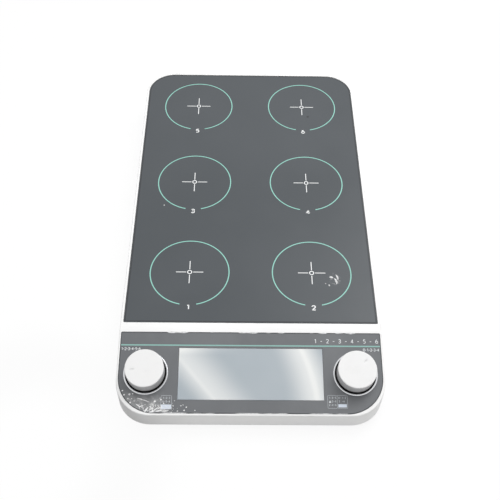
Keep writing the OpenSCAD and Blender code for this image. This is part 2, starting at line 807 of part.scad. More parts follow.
module motor_deck() {
    color("silver") difference() {
        translate([0, 0, z_mount]) linear_extrude(deck_t)
            slab_2d(2 * deck_half, deck_y0, deck_y1, deck_r, deck_r);
        for (k = [1:6]) at_position(k) translate([0, 0, z_mount]) {
            translate([0, 0, -over]) cylinder(r = nose_r + pass_gap, h = deck_t + 2 * over);
            for (s = [-1, 1]) translate([0, s * motor_screw_at, 0]) small_pass(deck_t);
        }
        for (p = posts) translate([p.x, p.y, z_mount]) small_pass(deck_t);
    }
}

module motor(k) {
    color("dimgray") at_position(k) difference() {
        union() {
            translate([0, 0, z_motor]) cylinder(r = motor_r, h = z_mount - z_motor);
            translate([0, 0, z_motor]) cylinder(r = nose_r, h = z_nose - z_motor);
        }
        translate([0, 0, z_motor + motor_floor]) cylinder(r = shaft_r + pass_gap, h = z_nose - z_motor);
        translate([0, 0, z_nose - bush_l]) cylinder(r = bush_r + press_gap, h = bush_l + over);
        for (s = [-1, 1]) translate([0, s * motor_screw_at, z_mount]) mirror([0, 0, 1]) small_pilot();
    }
}

module motor_bushes() {
    color("peru") for (k = [1:6]) at_position(k) translate([0, 0, z_nose - bush_l]) difference() {
        cylinder(r = bush_r, h = bush_l);
        translate([0, 0, -over]) cylinder(r = shaft_r + run_gap, h = bush_l + 2 * over);
    }
}

module motor_shaft(k) {
    color("silver") at_position(k) translate([0, 0, z_motor + motor_floor])
        cylinder(r = shaft_r, h = z_carrier - z_motor - motor_floor);
}

module magnet_carrier(k) {
    color("ivory") at_position(k) difference() {
        union() {
            translate([0, 0, z_carrier - carrier_t]) cylinder(r = carrier_r, h = carrier_t);
            translate([0, 0, z_hub]) cylinder(r = hub_r, h = z_carrier - z_hub);
        }
        translate([0, 0, z_hub - over]) cylinder(r = shaft_r + press_gap, h = z_carrier - z_hub + 2 * over);
        for (s = [-1, 1]) translate([s * magnet_at, 0, z_carrier - pocket_d])
            cylinder(r = magnet_r + press_gap, h = pocket_d + over);
    }
}

module drive_magnets(k) {
    color("darkgray") at_position(k) for (s = [-1, 1])
        translate([s * magnet_at, 0, z_magnet - magnet_h]) cylinder(r = magnet_r, h = magnet_h);
}

module driver_board() {
    color("seagreen") difference() {
        union() {
            translate([-driver_w / 2, driver_y0, z_driver])
                cube([driver_w, driver_y1 - driver_y0, board_t]);
            for (y = [driver_y0 + header_d / 2, driver_y1 - header_d / 2])
                translate([0, y, z_driver]) block(header_w, header_d, board_t + header_h);
            for (p = positions)
                translate([sign(p.x) * chip_w, p.y, z_driver]) block(chip_w, chip_w, board_t + chip_h);
        }
        for (p = driver_screws) translate([p.x, p.y, z_driver]) small_pass(board_t);
    }
}

// Ribbon from the control board's header down and back to the driver board's front header
module ribbon_cable() {
    header_v = control_v1 - header_d;
    header_w0 = control_under + header_h;
    start_y = crease_y + header_v * cos(panel_tilt) + header_w0 * sin(panel_tilt);
    start_z = z_top + header_v * sin(panel_tilt) - header_w0 * cos(panel_tilt);
    drop = start_z - z_lead - header_d / 2 * sin(panel_tilt);
    color("lightgray") {
        translate([0, start_y, z_lead - ribbon_t / 2]) block(ribbon_w, ribbon_t, drop + ribbon_t / 2);
        translate([-ribbon_w / 2, start_y - ribbon_t / 2, z_lead - ribbon_t / 2])
            cube([ribbon_w, driver_y0 - start_y + ribbon_t / 2, ribbon_t]);
    }
}

// Flat lead along Y from a rear fitting's tail to the driver board's rear header
module power_lead(x, tail_y) {
    z = z_rear - lead_drop;
    side = [[driver_y1, z_lead], [tail_y, z],
        [tail_y, z + power_lead_t], [driver_y1, z_lead + power_lead_t]];
    translate([x - power_lead_w / 2, 0, 0]) rotate([90, 0, 90]) linear_extrude(power_lead_w) polygon(side);
}

module wiring() {
    from = driver_w / 2 - lead_lap;
    to = pitch / 2 - motor_r - press_gap;
    color("firebrick") {
        for (p = positions)
            translate([sign(p.x) * (from + to) / 2, p.y, z_driver_top]) block(to - from, lead_w, lead_t);
        power_lead(-socket_off, rear_y - socket_l);
        power_lead(switch_off, rear_y - switch_d);
    }
}

module dc_socket() {
    color("black") at_rear(-socket_off) {
        difference() {
            union() {
                bar_y(socket_flange_r, 0, socket_flange_t);
                bar_y(socket_r, -socket_l, socket_flange_t / 2);
            }
            bar_y(socket_bore_r, socket_flange_t - socket_bore_d, socket_flange_t + over);
        }
        bar_y(socket_pin_r, socket_flange_t - socket_bore_d - over, socket_flange_t - socket_pin_sink);
    }
}

module socket_nut() {
    color("silver") at_rear(-socket_off) difference() {
        translate([0, -wall, 0]) rotate([90, 0, 0]) cylinder(d = nut_af / cos(30), h = nut_t, $fn = 6);
        bar_y(socket_r + press_gap, -wall - nut_t - over, over);
    }
}

module switch_housing() {
    bay_h = switch_h - 2 * switch_wall;
    color("black") at_rear(switch_off) difference() {
        union() {
            translate([-bezel_w / 2, 0, -bezel_h / 2]) cube([bezel_w, bezel_t, bezel_h]);
            translate([-switch_w / 2, -switch_d, -switch_h / 2])
                cube([switch_w, switch_d + bezel_t / 2, switch_h]);
        }
        translate([-switch_bay_w / 2, -switch_bay_d, -bay_h / 2])
            cube([switch_bay_w, switch_bay_d + bezel_t + over, bay_h]);
        translate([0, -pivot_d, -switch_h]) cylinder(r = trunnion_r + run_gap, h = 2 * switch_h);
    }
}

// Rocker with a shallow V face, lying pressed in at its -X end
module power_rocker() {
    trunnion_l = switch_h - 2 * rocker_gap;
    low = rocker_tip - rocker_end;
    face = [[-rocker_half, rocker_tip], [-rocker_half, low], [-rocker_barrel_r, 0],
        [rocker_barrel_r, 0], [rocker_half, low], [rocker_half, rocker_tip], [0, rocker_rise]];
    color("dimgray") at_rear(switch_off) translate([0, -pivot_d, 0]) rotate([0, 0, rocker_swing]) {
        translate([0, 0, -rocker_h / 2]) linear_extrude(rocker_h) {
            polygon(face);
            circle(rocker_barrel_r);
        }
        translate([0, 0, -trunnion_l / 2]) cylinder(r = trunnion_r, h = trunnion_l);
    }
}

module foot(x, y) {
    color("black") translate([x, y, 0]) {
        rotate_extrude() {
            square([foot_r - foot_edge_r, foot_h]);
            translate([0, foot_edge_r]) square([foot_r, foot_h - foot_edge_r]);
            translate([foot_r - foot_edge_r, foot_edge_r]) circle(foot_edge_r);
        }
        cylinder(r = plug_r, h = z_floor + plug_head_h);
        translate([0, 0, z_floor]) cylinder(r = plug_r + plug_lip, h = plug_head_h);
    }
}

module casing_screws() {
    through = base_t - casing_head_h;
    color("darkgray") for (p = concat(side_screws, front_screws))
        translate([p.x, p.y, z_base + casing_head_h])
            screw(casing_screw_r, casing_head_r, casing_head_h, through + casing_grip);
}

module deck_screws() {
    color("darkgray") {
        for (p = posts) translate([p.x, p.y, z_deck]) mirror([0, 0, 1]) small_screw(deck_t);
        for (k = [1:6], s = [-1, 1])
            at_position(k) translate([0, s * motor_screw_at, z_deck]) mirror([0, 0, 1]) small_screw(deck_t);
    }
}

module board_screws() {
    color("darkgray") {
        for (p = driver_screws) translate([p.x, p.y, z_driver_top]) mirror([0, 0, 1]) small_screw(board_t);
        for (p = control_screws) on_panel() translate([p.x, p.y, -control_under]) small_screw(board_t);
    }
}

upper_shell();
base_plate();
top_plate();
plate_tape();
panel_overlay();
display_window();
lcd_panel();
backlight();
display_holder();
control_board();
motor_deck();
motor_bushes();
driver_board();
ribbon_cable();
wiring();
dc_socket();
socket_nut();
switch_housing();
power_rocker();
casing_screws();
deck_screws();
board_screws();
for (i = [0, 1]) {
    side = 2 * i - 1;
    knob(side);
    knob_collar(side);
    encoder(side);
    encoder_spindle(side);
    push_plunger(side);
}
for (i = [0:3]) {
    x = (2 * (i % 2) - 1) * foot_x;
    y = i < 2 ? foot_front_y : foot_rear_y;
    foot(x, y);
}
for (k = [1:6]) {
    motor(k);
    motor_shaft(k);
    magnet_carrier(k);
    drive_magnets(k);
}
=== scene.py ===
import json
import math

import bmesh
import bpy
import numpy as np
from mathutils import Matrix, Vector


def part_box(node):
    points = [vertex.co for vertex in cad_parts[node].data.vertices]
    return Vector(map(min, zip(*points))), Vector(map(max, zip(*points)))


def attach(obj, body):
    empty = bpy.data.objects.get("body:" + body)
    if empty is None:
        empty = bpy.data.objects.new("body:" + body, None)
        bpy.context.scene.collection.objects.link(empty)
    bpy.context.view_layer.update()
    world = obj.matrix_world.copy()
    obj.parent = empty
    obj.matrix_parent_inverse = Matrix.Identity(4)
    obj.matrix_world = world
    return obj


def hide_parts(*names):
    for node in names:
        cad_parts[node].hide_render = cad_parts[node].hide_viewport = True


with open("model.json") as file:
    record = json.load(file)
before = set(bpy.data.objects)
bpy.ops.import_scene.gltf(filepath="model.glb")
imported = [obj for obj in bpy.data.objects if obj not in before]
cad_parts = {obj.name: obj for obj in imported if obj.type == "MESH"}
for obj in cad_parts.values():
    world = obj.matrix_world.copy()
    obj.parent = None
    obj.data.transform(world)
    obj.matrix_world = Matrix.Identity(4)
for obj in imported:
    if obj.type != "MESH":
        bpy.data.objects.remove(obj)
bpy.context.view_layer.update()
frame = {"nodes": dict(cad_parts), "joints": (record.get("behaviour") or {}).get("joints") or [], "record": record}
joints = {joint["name"]: joint for joint in frame["joints"]}

mm = 0.001
weldGap = 0.001 * mm  # points closer than this become one
inkHeight, inkSink = 0.04 * mm, 0.02 * mm  # how far printing stands above its ground and reaches into it
sideSteps, cornerSteps = 12, 16  # points along a straight side and round a corner of a slab

# the sloped panel's own frame, read from a knob's axis: u across, v up the slope, w out of the face
plateLow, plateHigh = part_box("top_plate")
topLevel = plateHigh.z
knobPlace = np.array(joints["left_knob_turn"]["pos_m"])
panelNormal = np.array(joints["left_knob_turn"]["axis"])
slopeSin, slopeCos = -panelNormal[1], panelNormal[2]
creaseY = knobPlace[1] + (topLevel - knobPlace[2]) * slopeCos / slopeSin
panelOrigin = np.array([0, creaseY, topLevel])
panelAxes = np.array([[1, 0, 0], [0, slopeCos, slopeSin], panelNormal])
knobAlong = (knobPlace[1] - creaseY) / slopeCos


def onPanel(points):
    # panel point (u, v, w): origin plus u, v and w times the panel's three axes
    return panelOrigin + np.asarray(points) @ panelAxes


def onKnob(points, side):
    # the same, from the middle of the left or right knob
    return onPanel(np.asarray(points) + [side * abs(knobPlace[0]), knobAlong, 0])


def onPlate(points):
    # (x, y, height above the glass)
    return np.asarray(points) + [0, 0, topLevel]


# Meshes from grids

def quads(rows, columns, closedRows, closedColumns):
    # each grid point with its next neighbours, wrapping round where the grid is closed
    index = np.arange(rows * columns).reshape(rows, columns)
    if closedRows:
        index = np.vstack([index, index[:1]])
    if closedColumns:
        index = np.hstack([index, index[:, :1]])
    corners = [index[:-1, :-1], index[1:, :-1], index[1:, 1:], index[:-1, 1:]]
    return np.stack(corners, -1).reshape(-1, 4)


def meshOf(name, grids):
    # grids of (points, closedRows, closedColumns) joined, welded and turned outwards
    points = np.concatenate([grid[0].reshape(-1, 3) for grid in grids])
    starts = np.cumsum([0] + [grid[0][..., 0].size for grid in grids])
    faces = [quads(*grid[0].shape[:2], *grid[1:]) + start for grid, start in zip(grids, starts)]
    mesh = bpy.data.meshes.new(name)
    mesh.from_pydata(points.tolist(), [], np.concatenate(faces).tolist())
    work = bmesh.new()
    work.from_mesh(mesh)
    bmesh.ops.remove_doubles(work, verts=work.verts, dist=weldGap)
    bmesh.ops.dissolve_degenerate(work, edges=work.edges, dist=weldGap)
    bmesh.ops.recalc_face_normals(work, faces=work.faces)
    work.to_mesh(mesh)
    work.free()
    return mesh


def placed(grids, place):
    # the same grids with their points taken to their place
    return [(place(points), closedRows, closedColumns) for points, closedRows, closedColumns in grids]


def dressNode(name, finish):
    # a carried-over CAD node takes a finish of its own
    materials = frame["nodes"][name].data.materials
    materials.clear()
    materials.append(finish)


def showPiece(mesh, finish, body, stands=(), slot=None, sharp=32):
    # smooth shading, broken where faces meet at more than the sharp angle, in degrees
    mesh.polygons.foreach_set("use_smooth", np.ones(len(mesh.polygons), bool))
    mesh.set_sharp_from_angle(angle=math.radians(sharp))
    mesh.materials.clear()
    mesh.materials.append(finish)
    piece = bpy.data.objects.new(mesh.name, mesh)
    bpy.context.scene.collection.objects.link(piece)
    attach(piece, body)
    if stands:
        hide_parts(*stands)


def showStrips(name, strips, place, finish, body="casing"):
    # strips that were drawn flat, taken to their place as one piece
    showPiece(meshOf(name, placed(strips, place)), finish, body)


def cutAway(name, mesh, cutters):
    # the mesh less each cutter, a closed mesh of its own
    piece = bpy.data.objects.new("uncut", mesh)
    bpy.context.scene.collection.objects.link(piece)
    tools = []
    for cutter in cutters:
        tool = bpy.data.objects.new(cutter.name, cutter)
        bpy.context.scene.collection.objects.link(tool)
        cut = piece.modifiers.new(cutter.name, "BOOLEAN")
        cut.operation, cut.solver, cut.object = "DIFFERENCE", "EXACT", tool
        tools.append(tool)
    result = bpy.data.meshes.new_from_object(piece.evaluated_get(bpy.context.evaluated_depsgraph_get()))
    result.name = name
    for gone in [piece] + tools:
        bpy.data.objects.remove(gone)
    return result


def lathe(profile, steps=128):
    # surface of revolution: radius r and height h go to (r cos a, r sin a, h) at each angle a
    angle = np.linspace(0, 2 * np.pi, steps, endpoint=False)[:, None]
    radius, height = np.asarray(profile, float).T
    return np.stack([radius * np.cos(angle), radius * np.sin(angle), height + 0 * angle], -1)


def softCorners(corners, steps=6, closed=False):
    # outline through corners (x, y, radius), each rounded by an arc that touches both of its legs
    spots = [complex(x, y) for x, y, radius in corners]
    parts = []
    for k, (x, y, radius) in enumerate(corners):
        isEnd = k in (0, len(corners) - 1) and not closed
        if radius == 0 or isEnd:
            parts.append([spots[k]])
            continue
        back = spots[k - 1] - spots[k]
        ahead = spots[(k + 1) % len(corners)] - spots[k]
        back, ahead = back / abs(back), ahead / abs(ahead)
        middle = (back + ahead) / abs(back + ahead)
        half = abs(np.angle(ahead / back)) / 2
        centre = spots[k] + middle * radius / math.sin(half)
        start = spots[k] + back * radius / math.tan(half) - centre
        sweep = np.angle((spots[k] + ahead * radius / math.tan(half) - centre) / start)
        parts.append(centre + start * np.exp(1j * sweep * np.linspace(0, 1, steps + 1)))
    outline = np.concatenate(parts)
    return np.stack([outline.real, outline.imag], -1)


def slabLoop(half, front, rear, frontRadius, rearRadius, side=sideSteps, corner=cornerSteps):
    # slab seen from above, from its front right corner round by the right, rear and left to the front:
    # quarter circles in equal angles, then straight sides in equal steps
    turn = np.linspace(0, np.pi / 2, corner)
    spots = [(half - frontRadius, front + frontRadius, frontRadius, -np.pi / 2),
             (half - rearRadius, rear - rearRadius, rearRadius, 0),
             (rearRadius - half, rear - rearRadius, rearRadius, np.pi / 2),
             (frontRadius - half, front + frontRadius, frontRadius, np.pi)]
    arcs = [np.stack([x + r * np.cos(turn + a), y + r * np.sin(turn + a)], -1) for x, y, r, a in spots]
    share = np.linspace(0, 1, side + 2)[1:-1, None]
    parts = []
    for bend, after in zip(arcs, arcs[1:] + arcs[:1]):
        parts += [bend, bend[-1] + (after[0] - bend[-1]) * share]
    return np.concatenate(parts)


def boxLoop(halfWidth, low, high, radius=0.0, steps=6):
    # rectangle with rounded corners, from its front left
    corners = [(-halfWidth, low), (halfWidth, low), (halfWidth, high), (-halfWidth, high)]
    return softCorners([(x, y, radius) for x, y in corners], steps, True)


def stack(loops, heights):
    # loops laid one on the other, each at its own height or heights
    planes = np.stack(loops, 1)
    levels = np.stack([np.broadcast_to(h, len(loops[0])) for h in heights], 1)
    return np.concatenate([planes, levels[..., None]], -1)


def prism(loop, low, high):
    # closed loop of (a, b) points drawn from one height to another, with both ends closed at their middle
    middle = loop * 0 + loop.mean(0)
    return stack([middle, loop, loop, middle], [low, low, high, high]), True, False


def ribbon(path, width, closed=False):
    # flat strip of ink: half the width to each side of the path along its normal, from a little below the
    # ground to the ink's height; an open strip draws in to a point at both ends, which closes it
    path = np.asarray(path, float)
    if closed:
        ahead = np.roll(path, -1, 0) - np.roll(path, 1, 0)
    else:
        ahead = np.gradient(path, axis=0)
    ahead /= np.linalg.norm(ahead, axis=1, keepdims=True)
    normal = np.stack([-ahead[:, 1], ahead[:, 0]], -1)
    across = np.array([-0.5, 0.5, 0.5, -0.5])[:, None] * np.broadcast_to(width, len(path))
    height = np.array([-inkSink, -inkSink, inkHeight, inkHeight])
    flat = path[:, None] + normal[:, None] * across.T[..., None]
    points = np.concatenate([flat, np.broadcast_to(height[:, None], flat.shape[:2] + (1,))], -1)
    if not closed:
        ends = [np.broadcast_to(points[k].mean(0), points[:1].shape) for k in (0, -1)]
        points = np.concatenate([ends[0], points, ends[1]])
    return points, closed, True


def slivers(path, widths, lift):
    # strip with a lens for its section: at each angle it reaches cos across and sin up;
    # where the width is zero it closes to a point
    path = np.asarray(path)
    ahead = np.gradient(path, axis=0)
    ahead /= np.linalg.norm(ahead, axis=1, keepdims=True)
    normal = np.stack([-ahead[:, 1], ahead[:, 0]], -1)
    angle = np.linspace(0, 2 * np.pi, 12, endpoint=False)
    flat = path[:, None] + normal[:, None] * (widths[:, None] / 2 * np.cos(angle))[..., None]
    height = (widths[:, None] > 0) * lift * (0.5 + np.sin(angle))
    return np.concatenate([flat, height[..., None]], -1), False, True


def flake(start, end, width, lift, bend=0.0):
    # crumb between two points: widest in the middle, with its path bowed sideways by a parabola
    start, end = np.asarray(start), np.asarray(end)
    share = np.linspace(-1, 1, 9)[:, None]
    across = np.array([start[1] - end[1], end[0] - start[0]])
    path = (start + end) / 2 + (end - start) / 2 * share + across * bend * (1 - share ** 2)
    return slivers(path, width * (1 - share[:, 0] ** 2), lift)


def flakes(rows, lift, bend):
    # one crumb for each row of start, end and width, in millimetres
    return [flake(np.array(start) * mm, np.array(end) * mm, width * mm, lift, bend)
            for start, end, width in rows]


def arc(centre, radius, start, end, steps=96):
    # circle points from one angle to another, in degrees
    angle = np.radians(np.linspace(start, end, steps))
    return np.stack([centre[0] + radius * np.cos(angle), centre[1] + radius * np.sin(angle)], -1)


def ring(centre, radius, steps=64):
    # whole circle, without its first point again
    return arc(centre, radius, 0, 360, steps + 1)[:-1]


# Figures drawn in strokes, each in a box one high with its foot on zero

strokes = {
    "1": [[(0.22, 0.82), (0.45, 1.0)], [(0.45, 1.0), (0.45, 0.0)]],
    "2": [arc((0.30, 0.72), 0.28, 165, -25, 24), [(0.55, 0.60), (0.05, 0.0)], [(0.02, 0.0), (0.62, 0.0)]],
    "3": [arc((0.28, 0.75), 0.25, 150, -80, 24), [(0.14, 0.52), (0.36, 0.52)],
          arc((0.27, 0.27), 0.28, 75, -150, 24)],
    "4": [[(0.46, 0.0), (0.46, 1.0)], [(0.46, 1.0), (0.02, 0.28)], [(0.0, 0.28), (0.64, 0.28)]],
    "5": [[(0.55, 1.0), (0.10, 1.0)], [(0.11, 1.0), (0.08, 0.52)], arc((0.25, 0.33), 0.33, 110, -120, 24)],
    "6": [ring((0.31, 0.31), 0.29, 28), arc((0.72, 0.36), 0.70, 115, 178, 20)],
    "0": [ring((0.31, 0.50), 0.31, 28) * [1, 1.6] - [0, 0.30]],
    "-": [[(0.1, 0.45), (0.5, 0.45)]],
    " ": [],
}
figureMiddle = (0.31, 0.5)


def figures(text, x, y, height, weight, pitch, stretch=1.0):
    # text centred on (x, y): each stroke is scaled to the height and drawn as a ribbon
    grids = []
    start = x - pitch * (len(text) - 1) / 2
    for k, sign in enumerate(text):
        for path in strokes[sign]:
            scaled = (np.asarray(path) - figureMiddle) * [height * stretch, height]
            grids.append(ribbon(scaled + [start + k * pitch, y], weight))
    return grids


# Materials

class Wire:
    # a socket that arithmetic can be written on, each step adding one Math node
    def __init__(self, graph, socket):
        self.graph = graph
        self.socket = socket

    def math(self, operation, *values):
        return self.graph.node("ShaderNodeMath", {"operation": operation}, dict(enumerate(values)))

    def __add__(self, other):
        return self.math("ADD", self, other)

    def __sub__(self, other):
        return self.math("SUBTRACT", self, other)

    def __rsub__(self, other):
        return self.math("SUBTRACT", other, self)

    def __mul__(self, other):
        return self.math("MULTIPLY", self, other)

    def __truediv__(self, other):
        return self.math("DIVIDE", self, other)

    def __pow__(self, other):
        return self.math("POWER", self, other)

    def __abs__(self):
        return self.math("ABSOLUTE", self)

    __radd__ = __add__
    __rmul__ = __mul__

    def most(self, other):
        # the larger of the two
        return self.math("MAXIMUM", self, other)

    def rise(self, low, high):
        # 0 below low and 1 above high, with a smooth rise between them
        return self.graph.node("ShaderNodeMapRange", {"interpolation_type": "SMOOTHSTEP"},
                               {"Value": self, "From Min": low, "From Max": high})

    def fall(self, low, high):
        # 1 below low and 0 above high
        return 1 - self.rise(low, high)


class Graph:
    # a node tree: one method adds any node, with its settings first and then its sockets
    def __init__(self, tree):
        self.tree = tree

    def node(self, kind, settings={}, values={}, output=0):
        made = self.tree.nodes.new(kind)
        for key, value in settings.items():
            setattr(made, key, value)
        for key, value in values.items():
            self.join(value, made.inputs[key])
        return Wire(self, made.outputs[output])

    def seen(self):
        # 1 on a ray from the camera, a reflection or clear material, and 0 on one that carries light
        rays = [self.node("ShaderNodeLightPath", output=f"Is {kind} Ray")
                for kind in ("Camera", "Glossy", "Transmission")]
        return rays[0].most(rays[1]).most(rays[2])

    def join(self, value, socket):
        # a wire becomes a link, and a constant the socket's own value
        if isinstance(value, Wire):
            self.tree.links.new(value.socket, socket)
        else:
            socket.default_value = value


class Finish(Graph):
    # one material: constants go straight onto the shader, and wires join what changes over the surface
    def __init__(self, name, **constants):
        self.material = bpy.data.materials.new(name)
        self.material.use_nodes = True
        super().__init__(self.material.node_tree)
        self.shader = self.tree.nodes["Principled BSDF"]
        self.where = self.node("ShaderNodeTexCoord", output="Object")
        self.set(**constants)

    def set(self, **sockets):
        # words run together name a shader socket: baseColor is Base Color
        names = {name.replace(" ", "").lower(): name for name in self.shader.inputs.keys()}
        for key, value in sockets.items():
            self.join(value, self.shader.inputs[names[key.lower()]])

    def axes(self):
        # x, y and z of the Object coordinates
        return [self.node("ShaderNodeSeparateXYZ", {}, {0: self.where}, axis) for axis in "XYZ"]

    def panelAxes(self):
        # u across and v up the sloped panel, and w out of its face
        x, y, z = self.axes()
        back, up = y - creaseY, z - topLevel
        return x, back * slopeCos + up * slopeSin, up * slopeCos - back * slopeSin

    def turned(self, turn=(0, 0, 0), scale=(1, 1, 1)):
        # Object coordinates, turned and stretched
        values = {"Vector": self.where, "Rotation": turn, "Scale": scale}
        return self.node("ShaderNodeMapping", {"vector_type": "TEXTURE"}, values)

    def noise(self, scale, detail=2, roughness=0.5, where=None):
        # cloudy noise between 0 and 1
        values = {"Vector": where or self.where, "Scale": scale, "Detail": detail, "Roughness": roughness}
        return self.node("ShaderNodeTexNoise", {}, values, "Fac")

    def cells(self, scale):
        # distance to the nearest of scattered points
        return self.node("ShaderNodeTexVoronoi", {}, {"Vector": self.where, "Scale": scale}, "Distance")

    def bands(self, scale, distortion=0.0):
        # waves across x, bent by the distortion
        values = {"Vector": self.where, "Scale": scale, "Distortion": distortion}
        return self.node("ShaderNodeTexWave", {"bands_direction": "X"}, values, "Fac")

    def mix(self, share, low, high):
        # one colour at a share of 0 and the other at 1
        ends = {6: low, 7: high}
        values = {key: end if isinstance(end, Wire) else (*end, 1) for key, end in ends.items()}
        return self.node("ShaderNodeMix", {"data_type": "RGBA"}, {0: share, **values}, 2)

    def bump(self, height, depth, strength):
        # tilts the shading by the slope of a height
        values = {"Height": height, "Distance": depth, "Strength": strength}
        self.set(normal=self.node("ShaderNodeBump", {}, values))


def near(across, along, spot):
    # 0 in the middle of a spot and 1 at its reach; a spot is its place and its two reaches, in millimetres
    placeAcross, placeAlong, reachAcross, reachAlong = (value * mm for value in spot)
    return (((across - placeAcross) / reachAcross) ** 2 + ((along - placeAlong) / reachAlong) ** 2) ** 0.5


def mouldedPlastic(name, tint, shade, roughness, grain=2600, gloss=0.45):
    # spark-eroded grain, a slow drift in tone, and handling marks that change the gloss
    finish = Finish(name, specularIORLevel=gloss)
    drift = finish.noise(14, 3).rise(0.35, 0.7)
    fine = finish.noise(grain, 3, 0.6)
    marks = finish.noise(60, 5, 0.7, finish.turned(scale=(1, 3, 1))).rise(0.5, 0.75)
    finish.set(baseColor=finish.mix(drift * 0.6 + marks * 0.25, tint, shade))
    finish.set(roughness=fine * 0.08 + marks * 0.12 + (roughness - 0.08))
    finish.bump(fine, 0.02 * mm, 0.35)
    return finish.material


def metal(name, tint, shade, roughness, stretch=(1, 1, 1), scale=900, depth=0.01 * mm):
    # drawn or turned lines along the stretched direction, with dull patches
    finish = Finish(name, metallic=1.0)
    lines = finish.noise(scale, 4, 0.65, finish.turned(scale=stretch))
    dull = finish.noise(40, 3).rise(0.4, 0.7)
    finish.set(baseColor=finish.mix(lines * 0.5 + dull * 0.4, tint, shade))
    finish.set(roughness=lines * 0.15 + dull * 0.1 + (roughness - 0.1))
    finish.bump(lines, depth, 0.4)
    return finish.material


def ink(name, tint, shade):
    # screen print: an even film with a faint mesh, thin spots and a soft sheen
    finish = Finish(name, specularIORLevel=0.4)
    thin = finish.noise(700, 4, 0.7).rise(0.52, 0.78)
    screen = finish.noise(5200, 1)
    finish.set(baseColor=finish.mix(thin * 0.7 + screen * 0.15, tint, shade))
    finish.set(roughness=screen * 0.15 + 0.36)
    return finish.material


def rubber(name):
    # matt black with bloom in the hollows and a fine, open grain
    finish = Finish(name, specularIORLevel=0.3)
    bloom = finish.noise(120, 4, 0.6).rise(0.45, 0.75)
    grain = finish.noise(3000, 2)
    finish.set(baseColor=finish.mix(bloom, (0.018, 0.018, 0.018), (0.045, 0.044, 0.042)))
    finish.set(roughness=grain * 0.15 + 0.72)
    finish.bump(grain, 0.03 * mm, 0.5)
    return finish.material


def circuitBoard(name):
    # solder mask over copper tracks, with tinned pads in a grid of cells
    finish = Finish(name, specularIORLevel=0.5)
    tracks = finish.bands(260, 6.0).rise(0.55, 0.65)
    pads = finish.cells(240).fall(0.14, 0.2)
    weave = finish.noise(1800, 2)
    mask = finish.mix(tracks * 0.7 + weave * 0.2, (0.012, 0.075, 0.035), (0.03, 0.16, 0.07))
    finish.set(baseColor=finish.mix(pads, mask, (0.62, 0.60, 0.55)))
    finish.set(metallic=pads, roughness=weave * 0.12 + 0.28)
    finish.bump(tracks + pads, 0.03 * mm, 0.4)
    return finish.material


cableEdge = (-11.4 * mm, -10.8 * mm)  # the marked wire lies left of this


def flatCable(name):
    # grey ribbon of parallel wires, one edge wire marked in red
    finish = Finish(name, specularIORLevel=0.4)
    x = finish.axes()[0]
    wires = finish.bands(390)
    edge = x.fall(*cableEdge)
    grey = finish.mix(wires, (0.32, 0.33, 0.34), (0.52, 0.53, 0.54))
    finish.set(baseColor=finish.mix(edge, grey, (0.5, 0.05, 0.04)))
    finish.set(roughness=wires * 0.1 + 0.4)
    finish.bump(wires, 0.2 * mm, 0.6)
    return finish.material


def foam(name):
    # open-cell tape
    finish = Finish(name, specularIORLevel=0.2)
    pores = finish.cells(2200).rise(0.1, 0.6)
    finish.set(baseColor=finish.mix(pores, (0.42, 0.42, 0.41), (0.68, 0.68, 0.67)))
    finish.set(roughness=pores * 0.1 + 0.8)
    finish.bump(pores, 0.1 * mm, 0.7)
    return finish.material


def clearGuide(name):
    # moulded light guide: pale, glossy, with a grid of printed dots
    finish = Finish(name, coatWeight=0.6, coatRoughness=0.08)
    dots = finish.cells(700).fall(0.2, 0.3)
    haze = finish.noise(60, 3)
    finish.set(baseColor=finish.mix(dots * 0.6 + haze * 0.3, (0.68, 0.74, 0.72), (0.86, 0.88, 0.87)))
    finish.set(roughness=haze * 0.15 + 0.15)
    return finish.material


def paleFilm(name, tint, shade, thinnest):
    # whitish film: thin, wrinkled and a little see-through
    finish = Finish(name, specularIORLevel=0.5)
    wrinkles = finish.noise(500, 4, 0.6)
    finish.set(baseColor=finish.mix(wrinkles, shade, tint))
    finish.set(roughness=wrinkles * 0.2 + 0.3, alpha=wrinkles.rise(0.2, 0.7) * (0.95 - thinnest) + thinnest)
    finish.bump(wrinkles, 0.1 * mm, 0.6)
    return finish.material


whiteShell = mouldedPlastic("whiteShell", (0.86, 0.86, 0.857), (0.81, 0.81, 0.807), 0.46, gloss=0.25)
blackPlastic = mouldedPlastic("blackPlastic", (0.018, 0.018, 0.02), (0.035, 0.035, 0.037), 0.45)
rockerBlack = mouldedPlastic("rockerBlack", (0.022, 0.022, 0.024), (0.04, 0.04, 0.042), 0.34, 3400)
tealInk = ink("tealInk", (0.29, 0.60, 0.52), (0.22, 0.48, 0.42))
lineInk = ink("lineInk", (0.25, 0.45, 0.41), (0.19, 0.36, 0.32))
whiteInk = ink("whiteInk", (0.88, 0.89, 0.89), (0.70, 0.71, 0.72))
paleInk = ink("paleInk", (0.70, 0.72, 0.73), (0.56, 0.58, 0.60))
greyInk = ink("greyInk", (0.44, 0.46, 0.48), (0.34, 0.36, 0.38))
blueInk = ink("blueInk", (0.62, 0.67, 0.75), (0.52, 0.58, 0.67))
# painted shade for the dark strips along the edges of the glass and of the overlay
darkInk = ink("darkInk", (0.035, 0.038, 0.042), (0.05, 0.053, 0.057))
pinMetal = metal("pinMetal", (0.72, 0.70, 0.66), (0.58, 0.56, 0.52), 0.28)
trimSilver = metal("trimSilver", (0.76, 0.77, 0.79), (0.67, 0.68, 0.70), 0.22, scale=9000, depth=0.002 * mm)
footRubber = rubber("footRubber")
tornFilm = paleFilm("tornFilm", (0.84, 0.84, 0.84), (0.66, 0.67, 0.68), 0.55)
scratchedFilm = paleFilm("scratchedFilm", (0.92, 0.92, 0.92), (0.80, 0.80, 0.81), 0.8)
print("shared finishes ready")


# Casing shell: walls, rolled edges, pockets for plate and overlay, and an inside

